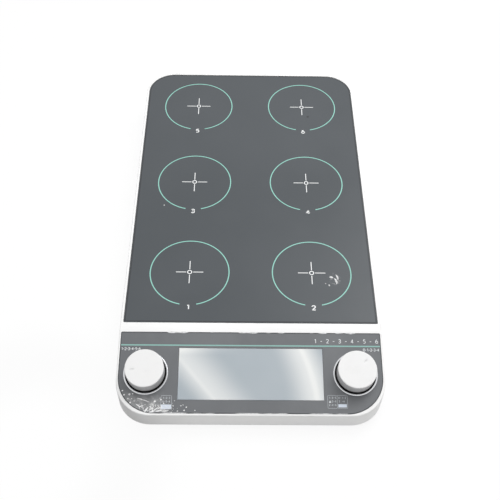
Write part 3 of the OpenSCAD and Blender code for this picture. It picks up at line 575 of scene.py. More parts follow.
shell = {
    "corner": {1: 31 * mm, -1: 29 * mm},   # upright corners at the rear and at the front
    "edge": (0.8 * mm, 1.0 * mm),    # rolled top edge, across and down
    "toe": 0.4 * mm,                 # rounded bottom edge
    "wall": 2.5 * mm,
    "roof": 2 * mm,                  # under the plate's pocket
    "panel": 3.07 * mm,              # upright thickness of the sloped front
    "lip": 0.15 * mm,                # rounding of a pocket's mouth
    "lidShares": (0, 0.12, 0.3, 0.55, 0.8, 1),   # loops from the rolled edge to that mouth
    "plateGap": 0.3 * mm,
    "overlayGap": 0.15 * mm,
    "plateRadii": (1.2 * mm, 27 * mm),
    "overlayRadii": (1 * mm, 31 * mm),
    "overlayThick": 0.5 * mm,
    "crease": 1.6 * mm,              # softness of the bend between the level top and the slope
    "cutGap": 0.2 * mm,              # room round what passes through a wall
    "cutReach": 8 * mm,              # how far a cutter passes through
}
shellLow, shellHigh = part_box("upper_shell")
overlayLow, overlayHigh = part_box("panel_overlay")
overlayFront = (overlayLow.y - creaseY) / slopeCos
overlayRear = (overlayHigh.y - creaseY - shell["overlayThick"] * slopeSin) / slopeCos
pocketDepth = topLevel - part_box("plate_tape")[0].z
rearFace = shellHigh.y


def topHeight(y):
    # level behind the crease and falling in front of it, as a hyperbola that is tangent to both
    ahead = creaseY - y
    soft = (ahead + np.sqrt(ahead ** 2 + shell["crease"] ** 2)) / 2
    return topLevel - soft * slopeSin / slopeCos


def overlayLoop(grow):
    # the overlay's outline on the panel, in (u, distance down the slope)
    return slabLoop(overlayHigh.x + grow, -overlayRear - grow, -overlayFront + grow,
                    *(r + grow for r in shell["overlayRadii"]))


def plateLoop(grow, **counts):
    # the plate's outline from above
    return slabLoop(plateHigh.x + grow, plateLow.y - grow, plateHigh.y + grow,
                    *(r + grow for r in shell["plateRadii"]), **counts)


def shellHalf(sign, far, half):
    # one half of the casing, behind the crease (sign 1) or in front of it (sign -1). Every station is a
    # slab loop in (x, distance from the crease); its height is above the bottom or below the top there
    s = shell
    bottom = shellLow.z
    quarter = np.linspace(0, np.pi / 2, 9)
    toe = [(s["toe"] * (1 - np.sin(a)), bottom + s["toe"] * (1 - np.cos(a))) for a in quarter]
    rolled = [(s["edge"][0] * (1 - np.cos(a)), s["edge"][1] * (1 - np.sin(a))) for a in quarter]

    def outline(inset):
        # the casing's outline, moved inwards
        return slabLoop(half - inset, 0, far - inset, 0, s["corner"][sign] - inset)

    def heightAt(loop, drop):
        # height of the top over each point, less a drop
        return topHeight(creaseY + sign * loop[:, 1]) - drop

    def pocket(grow):
        # outline of the plate's or the overlay's pocket, moved outwards
        if sign > 0:
            return plateLoop(grow) - [0, creaseY]
        return overlayLoop(grow) * [1, slopeCos]

    gap = s["plateGap"] if sign > 0 else s["overlayGap"]
    depth = pocketDepth if sign > 0 else s["overlayThick"] / slopeCos
    under = pocketDepth + s["roof"] if sign > 0 else s["panel"]
    uShape = slice(cornerSteps - 1, 1 - cornerSteps - sideSteps)  # without the crease and its corners

    loops = [outline(s["wall"])[uShape]] + [outline(inset)[uShape] for inset, level in toe]
    levels = [bottom] + [level for inset, level in toe]
    for inset, drop in rolled:
        loops.append(outline(inset)[uShape])
        levels.append(heightAt(loops[-1], drop))
    wall = stack(loops, levels)

    edge, mouth = outline(s["edge"][0]), pocket(gap + s["lip"])
    lids = [edge + (mouth - edge) * share for share in s["lidShares"]]
    drops = [0] * len(lids)
    for angle in quarter[2::2]:
        lids.append(pocket(gap + s["lip"] * (1 - np.sin(angle))))
        drops.append(s["lip"] * (1 - np.cos(angle)))
    floor = pocket(gap)
    centre = floor * 0 + [0, floor[:, 1].mean()]
    inner = outline(s["wall"])
    lids += [floor, centre, centre, inner]
    drops += [depth, depth, under, under]
    lid = stack(lids, [heightAt(loop, drop) for loop, drop in zip(lids, drops)])
    lid[:, -2:, 2] = np.minimum(lid[:, -2:, 2], topLevel - pocketDepth - s["roof"])
    inside = np.stack([lid[uShape, -1], wall[:, 0]], 1)
    grids = [(wall, False, False), (lid, True, False), (inside, False, False)]
    return placed(grids, lambda points: points * [1, sign, 1] + [0, creaseY, 0])


def atRear(x, z):
    # (a, b, out) on the rear wall: a to the right seen from behind, b up, out of the wall
    def place(points):
        points = np.asarray(points)
        return np.stack([x - points[..., 0], rearFace + points[..., 2], z + points[..., 1]], -1)
    return place


def middleOf(node):
    # middle of a node's box, across and up
    low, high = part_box(node)
    return (low.x + high.x) / 2, (low.z + high.z) / 2


window = {"thick": 1 * mm, "round": 0.4 * mm, "bevel": 0.2 * mm}
windowLow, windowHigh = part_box("display_window")
windowFront = (windowLow.y - creaseY) / slopeCos
windowRear = (windowHigh.y - creaseY - window["thick"] * slopeSin) / slopeCos
atSocket, atSwitch = atRear(*middleOf("dc_socket")), atRear(*middleOf("switch_housing"))
fitting = {
    "socketRadius": 5.5 * mm, "flange": 7 * mm, "flangeThick": 1.2 * mm, "socketLong": 14 * mm,
    "bore": 3.2 * mm, "boreDeep": 9.5 * mm, "pin": 1 * mm, "pinSink": 1 * mm,
    "switchSize": (19 * mm, 12.8 * mm), "switchDeep": 13 * mm, "bezel": (22 * mm, 15.5 * mm),
    "bezelThick": 1.5 * mm, "bay": (16.24 * mm, 9.8 * mm), "bayDeep": 4 * mm, "soft": 0.5 * mm,
    "switchRound": 0.4 * mm, "bezelRound": (1.2 * mm, 1.1 * mm, 1 * mm), "bayRound": (0.6 * mm, 0.4 * mm),
}
wellRadius = 18.1 * mm


def buildShell():
    # both halves joined at the crease, less the openings for window, knobs, inlet and switch
    half, gap, reach = shellHigh.x, shell["cutGap"], shell["cutReach"]
    solid = meshOf("uncutShell", shellHalf(1, rearFace - creaseY, half)
                   + shellHalf(-1, creaseY - shellLow.y, half))
    halfWide, halfHigh = (size / 2 + gap for size in fitting["switchSize"])
    cuts = {
        "windowCut": (boxLoop(windowHigh.x + gap, windowFront - gap, windowRear + gap), onPanel),
        "leftWellCut": (ring((0, 0), wellRadius + gap, 96), lambda points: onKnob(points, -1)),
        "rightWellCut": (ring((0, 0), wellRadius + gap, 96), lambda points: onKnob(points, 1)),
        "socketCut": (ring((0, 0), fitting["socketRadius"] + gap), atSocket),
        "switchCut": (boxLoop(halfWide, -halfHigh, halfHigh), atSwitch),
    }
    cutters = [meshOf(name, placed([prism(loop, -reach, reach)], place))
               for name, (loop, place) in cuts.items()]
    mesh = cutAway("casingShell", solid, cutters)
    showPiece(mesh, whiteShell, "casing", ["upper_shell"], "casing_white")


buildShell()
print("casing shell ready")


# Glass plate

plate = {
    "bevel": 0.7 * mm,
    "border": 0.9 * mm,
    "counts": {"side": 24, "corner": 40},   # points along a side and round a corner
    # marks of use at x, y, with their reach across and along, in millimetres
    "dried": (75, -79, 7, 8),
    "stain": (61, 133, 1.6, 1.9),
    "speck": (-83, 7, 0.7, 1.1),
}


def plateGlass():
    # dark print under etched glass: even grey with slow clouds, a fine etch, finger smears,
    # dried residue beside the second position and two small spots near the others
    finish = Finish("plateGlass", specularIORLevel=0.5)
    x, y = finish.axes()[:2]
    clouds = finish.noise(9, 3).rise(0.3, 0.75)
    etch = finish.noise(3200, 2, 0.6)
    smears = finish.noise(26, 5, 0.65, finish.turned((0, 0, 0.5), (1, 2.6, 1))).rise(0.45, 0.8)
    tone = finish.mix(clouds * 0.7 + etch * 0.3, (0.054, 0.062, 0.069), (0.068, 0.076, 0.084))
    crumbs = finish.noise(420, 5, 0.7, finish.turned((0, 0, 0.9), (1, 2.2, 1))).rise(0.50, 0.68)
    dried = near(x, y, plate["dried"]).fall(0.3, 1) * crumbs * 0.5
    wobble = finish.noise(500, 2) * 0.5
    stain = (near(x, y, plate["stain"]) + wobble).fall(0.9, 1.2)
    speck = (near(x, y, plate["speck"]) + wobble).fall(0.9, 1.3)
    tone = finish.mix(stain, tone, (0.035, 0.037, 0.04))
    tone = finish.mix(dried.most(speck * 0.6), tone, (0.72, 0.73, 0.72))
    finish.set(baseColor=tone, roughness=etch * 0.1 + smears * 0.1 + dried * 0.4 + 0.3)
    finish.bump(etch + dried * 6, 0.01 * mm, 0.3)
    return finish.material


def buildPlate():
    # outline loops stacked from the underside up: straight edge, quarter-round bevel, flat top
    bevel, counts = plate["bevel"], plate["counts"]
    angles = np.linspace(0, np.pi / 2, 6)
    outer = plateLoop(0, **counts)
    middle = outer * 0 + [0, (plateLow.y + plateHigh.y) / 2]
    rounded = [plateLoop(-bevel * (1 - np.cos(a)), **counts) for a in angles]
    loops = [middle, outer] + rounded + [plateLoop(-1.5 * bevel, **counts), middle]
    bevelHeights = [topLevel - bevel * (1 - np.sin(a)) for a in angles]
    heights = [plateLow.z, plateLow.z] + bevelHeights + [topLevel, topLevel]
    mesh = meshOf("glassPlate", [(stack(loops, heights), True, False)])
    showPiece(mesh, plateGlass(), "casing", ["top_plate"], "plate_glass")
    # painted shade: a dark strip just inside the glass's bevel stands in for the shade of its edge and of the gap
    # round it
    border = ribbon(plateLoop(-bevel - plate["border"] / 2, **counts), plate["border"], True)
    showStrips("plateBorder", [border], onPlate, darkInk)


buildPlate()
print("glass plate ready")


# Printing on the glass: six open rings, crosses with a small ring, and numbers

marks = {
    "ringRadius": 35.45 * mm,
    "ringWidth": 0.95 * mm,
    "gapHalf": 12,            # degrees to each side of the front, kept open for the number
    "cross": 12.35 * mm,      # reach of the cross from the middle
    "crossStart": 3.1 * mm,
    "crossWidth": 0.72 * mm,
    "eyeRadius": 1.85 * mm,
    "eyeWidth": 0.8 * mm,
    "numberAt": -37.7 * mm,   # middle of the number, in front of the position
    "numberHigh": 4.4 * mm,
    "numberWeight": 0.95 * mm,
    "numberStretch": 1.2,
}
residue = {
    "lift": 0.08 * mm,
    "bend": 0.12,
    # dried crumbs on the glass: (start, end, width) in millimetres
    "crumbs": [((70.4, -76.8), (74.2, -78.0), 2.0), ((76.3, -73.8), (78.2, -80.2), 1.6),
               ((74.8, -77.8), (76.8, -84.8), 1.9), ((69.6, -84.8), (70.2, -87.0), 1.3),
               ((66.7, -83.7), (67.1, -84.4), 0.8)],
}


def buildMarks():
    # about each drive's axis: an open circle, a cross of four strokes round a small circle, and its number
    m = marks
    rings, crosses = [], []
    for number in range(1, 7):
        spot = np.array(joints[f"stir_{number}"]["pos_m"][:2])
        path = arc(spot, m["ringRadius"], -90 + m["gapHalf"], 270 - m["gapHalf"], 240)
        rings.append(ribbon(path, m["ringWidth"]))
        reach = np.array([m["crossStart"], m["cross"]])[:, None]
        for direction in ((1, 0), (0, 1), (-1, 0), (0, -1)):
            crosses.append(ribbon(spot + reach * direction, m["crossWidth"]))
        crosses.append(ribbon(ring(spot, m["eyeRadius"], 48), m["eyeWidth"], True))
        crosses += figures(str(number), spot[0], spot[1] + m["numberAt"], m["numberHigh"],
                           m["numberWeight"], 0, m["numberStretch"])
    showStrips("ringPrint", rings, onPlate, tealInk)
    showStrips("crossPrint", crosses, onPlate, whiteInk)


def buildResidue():
    # bowed crumbs at their places
    crumbs = flakes(residue["crumbs"], residue["lift"], residue["bend"])
    showStrips("plateResidue", crumbs, onPlate, tornFilm)


buildMarks()
buildResidue()
print("plate printing ready")


# Control panel: overlay film, window, teal line, symbols, figures and torn film

# rubbed places: u, v and both reaches, in millimetres
rubbing = {"corner": (-92, -71, 32, 19), "clump": (-78, -70, 15, 7)}


def overlayFilm():
    # printed film: dark grey satin with a slow haze, fine grain, and pale dust at the rubbed left corner
    finish = Finish("overlayFilm", specularIORLevel=0.5)
    u, v = finish.panelAxes()[:2]
    haze = finish.noise(22, 4, 0.6, finish.turned((0, 0, 0.2), (1, 1.8, 1))).rise(0.35, 0.75)
    fine = finish.noise(2800, 2, 0.6)
    tone = finish.mix(haze * 0.7 + fine * 0.3, (0.110, 0.116, 0.124), (0.146, 0.152, 0.160))
    corner, clump = (near(u, v, rubbing[name]) for name in ("corner", "clump"))
    clouds = finish.noise(140, 4, 0.6).rise(0.3, 0.7)
    rubbed = finish.noise(300, 6, 0.75, finish.turned((0, 0, 0.6), (1, 1.8, 1))).rise(0.50, 0.68)
    worn = corner.fall(0.3, 1.0)
    dust = worn * (clouds * 0.16 + 0.06) + rubbed * (clump.fall(0.1, 1.0) * 0.5 + worn * 0.3)
    finish.set(baseColor=finish.mix(dust, tone, (0.74, 0.74, 0.73)))
    finish.set(roughness=haze * 0.12 + fine * 0.08 + dust * 0.3 + 0.3)
    finish.bump(fine + dust * 4, 0.01 * mm, 0.3)
    return finish.material


paintedReflections = {
    # painted reflections, in shares of the window: lean, bow and place of each streak, how it rises and falls
    # across its width, how pale it gets, and the half width and paleness of the painted highlight along its crest
    "left": {"lean": 0.315, "bow": 0, "place": -0.063, "rise": (-0.17, 0.03), "fall": (0.0, 0.34),
             "pale": 0.72, "crest": (0.035, 0.12)},
    "right": {"lean": 0.17, "bow": 0.065, "place": 0.85, "rise": (-0.23, 0.02), "fall": (-0.02, 0.16),
              "pale": 0.85, "crest": (0.035, 0.15)},
    # painted reflection at the pale upper left corner
    "top": {"down": 0.16, "across": 0.5, "pale": 0.4},  # the pale upper left corner
}


def displayFace():
    # silvered display behind its clear window: blue grey, with painted reflections: lighter along a slanting
    # streak at the left and along a bowed one at the right, both fixed on the window's surface
    finish = Finish("displayFace", coatWeight=0.8, coatRoughness=0.08)
    u, v = finish.panelAxes()[:2]
    across = u / (2 * windowHigh.x) + 0.5
    down = (windowRear - v) / (windowRear - windowFront)
    haze = finish.noise(16, 3, 0.5).rise(0.3, 0.8)
    fine = finish.noise(4200, 1)

    def streak(side):
        # a painted reflection: a pale band about the line across = place + lean * down - bow * down squared
        s = paintedReflections[side]
        half, bright = s["crest"]
        aside = across - down * s["lean"] + down * down * s["bow"] - s["place"]
        band = aside.rise(*s["rise"]) * aside.fall(*s["fall"]) * s["pale"]
        return band + abs(aside).fall(0.0, half) * bright

    top = paintedReflections["top"]
    corner = down.fall(0.0, top["down"]) * across.fall(0.0, top["across"]) * top["pale"]
    # painted reflections, with a slow haze
    glow = streak("left") + streak("right") + corner + haze * 0.08
    finish.set(baseColor=finish.mix(glow, (0.32, 0.365, 0.40), (0.74, 0.75, 0.74)))
    finish.set(roughness=haze * 0.1 + fine * 0.05 + 0.3)
    return finish.material


panelMarks = {
    "lineAt": -16.6 * mm,
    "lineWidth": 1.1 * mm,
    "border": 0.6 * mm,
    "boxLine": 0.28 * mm,
    "boxRound": 0.9 * mm,
    # small boxes: left, right, low and high in millimetres, their rows of figures, and a bar within
    "boxes": [((-73.7, -65.0, -71.4, -60.1), ("1-2-3", "4-5-6"), (-73.5, -65.0, -71.4, -67.6)),
              ((63.3, 71.2, -70.0, -59.2), ("1-3-5", "  0-6", "2-4-6"), None),
              ((71.2, 79.6, -70.0, -59.2), ("0-1-2", "3 -4 "), (71.9, 78.9, -69.2, -66.5))],
    "rowDrop": 2 * mm, "rowPitch": 3 * mm, "rowHigh": 1.5 * mm, "rowWeight": 0.34 * mm, "rowStep": 1.3 * mm,
    "arrow": (65.2 * mm, -64.4 * mm), "arrowSize": 1.9 * mm, "arrowBroad": 0.55,
    # rows of figures: text, u, v, height, weight and pitch
    "scale": ("1 - 2 - 3 - 4 - 5 - 6", 80.9 * mm, -12.2 * mm, 3.3 * mm, 0.5 * mm, 2.62 * mm),
    "leftRange": ("1-2-3-4-5-6", -101.3 * mm, -20.0 * mm, 2.3 * mm, 0.42 * mm, 1.5 * mm),
    "rightRange": ("0-1-2-3-4", 101.9 * mm, -19.8 * mm, 2.3 * mm, 0.42 * mm, 1.5 * mm),
}
scuffs = {
    "lift": 0.1 * mm,
    # scratched film at the left corner, in millimetres on the panel: (start, end, width)
    "strokes": [((-93.6, -62.4), (-87.6, -64.2), 1.2), ((-90.6, -63.3), (-82.8, -65.8), 0.7),
                ((-94.4, -67.1), (-90.4, -69.9), 0.9), ((-91.8, -70.0), (-87.6, -68.2), 0.8),
                ((-86.7, -74.3), (-84.0, -70.1), 1.4), ((-79.0, -70.4), (-83.2, -72.1), 1.1),
                ((-83.4, -74.2), (-78.4, -73.6), 1.2), ((-80.8, -73.6), (-79.6, -71.6), 0.9),
                ((-79.5, -72.9), (-75.5, -70.2), 1.0), ((-78.0, -73.5), (-71.5, -72.4), 1.2),
                ((-73.0, -73.4), (-66.8, -72.8), 1.0)],
    # single specks: (u, v, size)
    "specks": [(-99.8, -59.3, 2.0), (-97.2, -58.8, 1.2), (-104.2, -59.7, 1.6), (-105.8, -56.2, 1.4),
               (-98.8, -66.1, 1.7), (-100.9, -62.9, 1.3), (-97.8, -62.9, 1.0), (-95.6, -64.8, 1.1),
               (-78.7, -65.1, 2.0), (-73.8, -63.6, 1.6), (-62.6, -64.4, 0.8), (-57.2, -68.6, 1.1),
               (-52.7, -69.7, 1.3), (-54.4, -72.4, 1.4), (-45.6, -72.3, 1.1)],
    "strokeBend": 0.02,
    "speckReach": (0.5, 0.2), "speckWide": 0.8,   # shares of a speck's size
    "dust": 190,                        # small crumbs scattered about the clump
    "clump": (-78.0 * mm, -71.0 * mm),
    "spread": (8.5 * mm, 2.4 * mm),
    "leftEnd": -92 * mm, "frontGap": 0.8 * mm,    # no crumb lies past these
    "crumbReach": (0.15, 0.55), "crumbWide": (0.3, 0.45),   # least and chance part, in millimetres
    "crumbBend": 0.2,
    "turn": 6.3,                        # radians, about once round
    "seed": 11,
}


def symbolBox(box, rows, bar):
    # outlined box with rows of small figures from its top down, and a filled bar below them
    p = panelMarks
    left, right, low, high = np.array(box) * mm
    middle, half = (left + right) / 2, (right - left) / 2
    lines = [ribbon(boxLoop(half, low, high, p["boxRound"]) + [middle, 0], p["boxLine"], True)]
    for k, row in enumerate(rows):
        level = high - p["rowDrop"] - k * p["rowPitch"]
        lines += figures(row, middle, level, p["rowHigh"], p["rowWeight"], p["rowStep"])
    if bar is None:
        return lines, []
    left, right, low, high = np.array(bar) * mm
    return lines, [ribbon([(left, (low + high) / 2), (right, (low + high) / 2)], high - low)]


def buildOverlay():
    # finish of the film, the flat strips printed on it, and a strip of painted shade round its edge
    p = panelMarks
    dressNode("panel_overlay", overlayFilm())
    edge = overlayHigh.x - p["border"]
    line = [ribbon([(-edge, p["lineAt"]), (edge, p["lineAt"])], p["lineWidth"])]
    showStrips("panelLine", line, onPanel, lineInk)
    # painted shade: a dark strip round the film's edge stands in for the shade of that edge
    border = ribbon(overlayLoop(-p["border"] / 2) * [1, -1], p["border"], True)
    showStrips("overlayBorder", [border], onPanel, darkInk)
    lines, bars = [], []
    for box, rows, bar in p["boxes"]:
        more, fill = symbolBox(box, rows, bar)
        lines += more
        bars += fill
    showStrips("symbolLines", lines, onPanel, greyInk)
    showStrips("symbolBars", bars, onPanel, blueInk)
    share = np.linspace(-0.5, 0.5, 5)
    middles = p["arrow"] + np.stack([share * 0, share], -1) * p["arrowSize"]
    arrow = ribbon(middles, (p["arrowBroad"] - share) * p["arrowSize"])  # narrows to the rear
    rows = figures(*p["scale"]) + figures(*p["leftRange"]) + figures(*p["rightRange"])
    showStrips("panelFigures", rows + [arrow], onPanel, paleInk)


def buildWindow():
    # flat pane: outline with rounded corners, a straight edge and a small bevel
    def pane(inset):
        # the outline, moved inwards
        return boxLoop(windowHigh.x - inset, windowFront + inset, windowRear - inset, window["round"], 5)

    middle = pane(0) * 0 + [0, (windowFront + windowRear) / 2]
    loops = [middle, pane(0), pane(0), pane(window["bevel"]), pane(2 * window["bevel"]), middle]
    points = stack(loops, [-window["thick"], -window["thick"], -window["bevel"], 0, 0, 0])
    mesh = meshOf("displayWindow", [(onPanel(points), True, False)])
    showPiece(mesh, displayFace(), "casing", ["display_window"], "clear_window", 20)


film = {
    "rearWide": 1.5 * mm, "frontWide": 0.7 * mm, "lift": 0.12 * mm,
    "sideGap": 1.5 * mm, "inset": 0.2 * mm,
    "waves": [(95, 1, 1), (210, 2.4, 0.8), (530, 0, 0.6)],   # radians per metre, phase and strength
    "rearLevel": 0.35, "rearTop": 1.4, "frontShare": 0.5, "frontLevel": 0.45,
}


def buildFilm():
    # torn edges: the width is three sine waves less a level, never below zero, and zero at both ends
    f = film
    edge = overlayHigh.x - f["sideGap"]
    u = np.linspace(-edge, edge, 500)
    wave = sum(strength * np.sin(u * pitch + phase) for pitch, phase, strength in f["waves"])
    rear = np.clip(wave - f["rearLevel"], 0, f["rearTop"]) / f["rearTop"] * f["rearWide"]
    straight = overlayHigh.x - shell["overlayRadii"][1]
    front = np.clip(f["frontShare"] * wave + f["frontLevel"], 0, 1) * f["frontWide"]
    front[abs(u) > straight] = 0
    for widths in (rear, front):
        widths[[0, -1]] = 0
    strips = [slivers(np.stack([u, u * 0 + overlayRear - f["inset"]], -1), rear, f["lift"]),
              slivers(np.stack([u, u * 0 + overlayFront + f["inset"]], -1), front, f["lift"])]
    showStrips("filmEdges", strips, onPanel, tornFilm)


def buildScuffs():
    # strokes and specks at their places, and fine crumbs scattered about a clump, thinning outwards as a bell
    c = scuffs
    strips = flakes(c["strokes"], c["lift"], c["strokeBend"])
    for u, v, size in c["specks"]:
        spot, reach = np.array([u, v]) * mm, np.array(c["speckReach"]) * size * mm
        strips.append(flake(spot - reach, spot + reach, c["speckWide"] * size * mm, c["lift"]))
    chance = np.random.default_rng(c["seed"])
    spots = chance.normal(c["clump"], c["spread"], (c["dust"], 2))
    spots = spots[(spots[:, 1] > overlayFront + c["frontGap"]) & (spots[:, 0] > c["leftEnd"])]
    (leastReach, moreReach), (leastWide, moreWide) = c["crumbReach"], c["crumbWide"]
    for spot, (run, lean) in zip(spots, chance.random((len(spots), 2))):
        turn = c["turn"] * lean
        reach = (leastReach + moreReach * run ** 3) * mm * np.array([math.cos(turn), math.sin(turn)])
        width = (leastWide + moreWide * run) * mm
        strips.append(flake(spot - reach, spot + reach, width, c["lift"], c["crumbBend"] * (lean - 0.5)))
    showStrips("cornerScuffs", strips, onPanel, scratchedFilm)


buildOverlay()
buildWindow()
buildFilm()
buildScuffs()
print("control panel ready")


# Knobs with a notch in the top, their pale trim rings and the dark wells under them

knob = {
    "radius": 16.1 * mm, "top": 14 * mm, "foot": 2.5 * mm, "round": 0.7 * mm, "wall": 1.8 * mm,
    "roof": 2 * mm, "hub": 5.5 * mm, "hubEnd": 0.52 * mm, "bore": 3.02 * mm,
    "notchAt": 10 * mm, "notchSize": (2.4 * mm, 0.9 * mm), "notchDeep": 0.4 * mm, "notchSteep": 1.6,
    "notchTurn": {-1: 187, 1: 45},      # degrees, of the left and the right knob
    "skirt": (12.8 * mm, 13.1 * mm),    # where the white of the top gives way to the greyer side
    # painted shade: the knob's side is darkest at its foot and lightens up to the second height
    "sideFade": (1 * mm, 13 * mm),      # heights between which the side gets lighter
    "base": (13.2 * mm, 15.95 * mm), "sink": 1.5 * mm,
    "trimOuter": 18.7 * mm, "trimInner": 16.8 * mm, "trimHigh": 1 * mm, "trimFoot": 0.4 * mm,
    "trimRound": (0.6 * mm, 0.8 * mm),   # outside and inside of its top
    "wellDeep": 4 * mm, "wellFloor": 1 * mm, "neck": 4.5 * mm,
}


def knobPlastic():
    # white top over a greyer side that darkens towards its foot as painted shade, with fine grain, finger marks
    # and painted shade in each notch
    finish = Finish("knobPlastic", specularIORLevel=0.45)
    u, v, height = finish.panelAxes()
    marks = finish.noise(90, 5, 0.7).rise(0.5, 0.75)
    fine = finish.noise(3400, 3, 0.6)
    top = finish.mix(marks * 0.5 + fine * 0.2, (0.785, 0.785, 0.783), (0.74, 0.74, 0.735))
    for side, turn in knob["notchTurn"].items():
        # painted shade in the notch, in its own directions along and across
        cos, sin = math.cos(math.radians(turn)), math.sin(math.radians(turn))
        right = u - side * abs(knobPlace[0]) - cos * knob["notchAt"]
        ahead = v - knobAlong - sin * knob["notchAt"]
        along, across = right * cos + ahead * sin, ahead * cos - right * sin
        away = (along / knob["notchSize"][0]) ** 2 + (across / knob["notchSize"][1]) ** 2
        top = finish.mix(away.fall(0.1, 1.3) * 0.6, top, (0.60, 0.60, 0.60))
    # painted shade: the side darkens towards its foot
    side = finish.mix(height.rise(*knob["sideFade"]), (0.45, 0.45, 0.455), (0.55, 0.55, 0.555))
    finish.set(baseColor=finish.mix(height.rise(*knob["skirt"]), side, top))
    finish.set(roughness=fine * 0.08 + marks * 0.12 + 0.32)
    finish.bump(fine, 0.02 * mm, 0.35)
    return finish.material


def buildKnob(side, label, finish):
    # turned sections about the knob's axis: cap with its hub, black base, trim ring and well
    k = knob

    def knobPiece(name, profile, closed, look, body, *more):
        # a turned section about this knob's axis, as a piece
        mesh = meshOf(f"{label}{name}", [(onKnob(lathe(profile), side), True, closed)])
        showPiece(mesh, look, body, *more)

    flatReach = k["radius"] - k["round"]
    edge = [(flatReach + k["round"] * np.cos(a), k["top"] - k["round"] * (1 - np.sin(a)))
            for a in np.linspace(0, np.pi / 2, 8)]
    flat = [(r, k["top"]) for r in np.linspace(flatReach, 0, 36)[1:]]
    roofUnder, inner = k["top"] - k["roof"], k["radius"] - k["wall"]
    inside = [(0, roofUnder), (k["bore"], roofUnder), (k["bore"], k["hubEnd"]), (k["hub"], k["hubEnd"]),
              (k["hub"], roofUnder), (inner, roofUnder), (inner, k["foot"]), (k["radius"], k["foot"])]
    points = lathe(inside + edge + flat, 160)
    turn = math.radians(k["notchTurn"][side])
    ahead = np.array([math.cos(turn), math.sin(turn)])
    along = points[..., :2] @ ahead - k["notchAt"]
    across = points[..., :2] @ [-ahead[1], ahead[0]]
    away = (along / k["notchSize"][0]) ** 2 + (across / k["notchSize"][1]) ** 2
    isTop = points[..., 2] > k["top"] - weldGap
    points[..., 2] -= isTop * k["notchDeep"] * np.exp(-k["notchSteep"] * away)  # a bell, longer than wide
    mesh = meshOf(f"{label}KnobCap", [(onKnob(points, side), True, False)])
    showPiece(mesh, finish, f"{label}_dial", [f"{label}_knob"], "knob_white")
    low, (baseIn, baseOut) = -k["sink"], k["base"]
    base = [(baseIn, low), (baseOut, low), (baseOut, k["foot"]), (baseIn, k["foot"])]
    knobPiece("KnobBase", base, True, footRubber, f"{label}_dial", [f"{label}_knob"])

    ringIn, ringOut, ringLow, ringTop = k["trimInner"], k["trimOuter"], -k["trimFoot"], k["trimHigh"]
    roundOut, roundIn = k["trimRound"]
    trim = softCorners([(ringIn, ringLow, 0), (ringOut, ringLow, 0), (ringOut, ringTop, roundOut),
                        (ringIn, ringTop, roundIn)], 6, True)
    knobPiece("KnobTrim", trim, True, trimSilver, "casing", [f"{label}_knob_collar"], "collar_silver")
    floor, under = -k["wellDeep"], -k["wellDeep"] - k["wellFloor"]
    well = [(wellRadius, ringLow), (wellRadius, under), (k["neck"], under), (k["neck"], floor),
            (ringIn, floor), (ringIn, ringLow)]
    knobPiece("KnobWell", well, True, footRubber, "casing", [f"{label}_knob_collar"])


whiteKnob = knobPlastic()
buildKnob(-1, "left", whiteKnob)
buildKnob(1, "right", whiteKnob)
print("knobs ready")


# Rear wall: power inlet and switch

def buildSocket():
    # turned sections: a body inside the wall with a flange outside it, and a pin in its bore
    f = fitting
    mouth, boreEnd = f["flangeThick"], f["flangeThick"] - f["boreDeep"]
    body = softCorners([(0, -f["socketLong"], 0), (f["socketRadius"], -f["socketLong"], f["soft"]),
                        (f["socketRadius"], 0, 0), (f["flange"], 0, 0), (f["flange"], mouth, f["soft"]),
                        (f["bore"], mouth, f["soft"] / 2), (f["bore"], boreEnd, 0), (0, boreEnd, 0)])
    mesh = meshOf("inletBody", [(atSocket(lathe(body, 96)), True, False)])
    showPiece(mesh, blackPlastic, "casing", ["dc_socket"], "black_plastic")
    tip, pinFoot = mouth - f["pinSink"], boreEnd - f["soft"]
    pin = softCorners([(0, pinFoot, 0), (f["pin"], pinFoot, 0), (f["pin"], tip, f["soft"]), (0, tip, 0)])
    showPiece(meshOf("inletPin", [(atSocket(lathe(pin, 48)), True, False)]), pinMetal, "casing")


def buildSwitch():
    # frame round the rocker: rectangles of one point count, from the body's back out to the bezel
    # and into the bay
    f = fitting

    def frameLoop(size, inset, radius):
        # a rectangle of this size, moved inwards
        return boxLoop(size[0] / 2 - inset, inset - size[1] / 2, size[1] / 2 - inset, radius)

    soft, face = f["soft"], f["bezelThick"]
    (outerRound, slopeRound, faceRound), (mouthRound, bayRound) = f["bezelRound"], f["bayRound"]
    body, bay = frameLoop(f["switchSize"], 0, f["switchRound"]), frameLoop(f["bay"], 0, bayRound)
    outer = frameLoop(f["bezel"], 0, outerRound)
    loops = [body * 0, body, body, outer, outer, frameLoop(f["bezel"], soft / 3, slopeRound),
             frameLoop(f["bezel"], soft, faceRound), frameLoop(f["bay"], -soft, mouthRound),
             bay, bay, bay * 0]
    heights = [-f["switchDeep"], -f["switchDeep"], 0, 0, face - soft, face - soft / 3, face, face,
               face - soft, -f["bayDeep"], -f["bayDeep"]]
    mesh = meshOf("switchFrame", [(atSwitch(stack(loops, heights)), True, False)])
    showPiece(mesh, blackPlastic, "casing", ["switch_housing"], "black_plastic")


rocker = {
    "half": 7.2 * mm, "high": 9 * mm, "swing": 8, "rise": 3.2 * mm, "end": 2.4 * mm, "barrel": 2.6 * mm,
    "shoulder": 0.4,                    # share of the barrel's depth at which its underside bends
    "ends": [(0.95, 0), (0.985, 0.15), (1, 1)],   # size of the section, and its way up the rounding
    "soft": 0.5 * mm, "markAt": 4 * mm, "markHalf": 1.5 * mm, "markWidth": 0.45 * mm,
}
rockerPivot = np.array(joints["power_rocker_tilt"]["pos_m"])
rockerSlope = math.tan(math.radians(rocker["swing"]))


def onRocker(points):
    # (along, up, out) from the pivot, turned about it to rest with one end pressed in
    along, up, out = np.moveaxis(np.asarray(points), -1, 0)
    turn = math.radians(rocker["swing"])
    x = along * math.cos(turn) - out * math.sin(turn)
    y = along * math.sin(turn) + out * math.cos(turn)
    return rockerPivot + np.stack([x, y, up], -1)


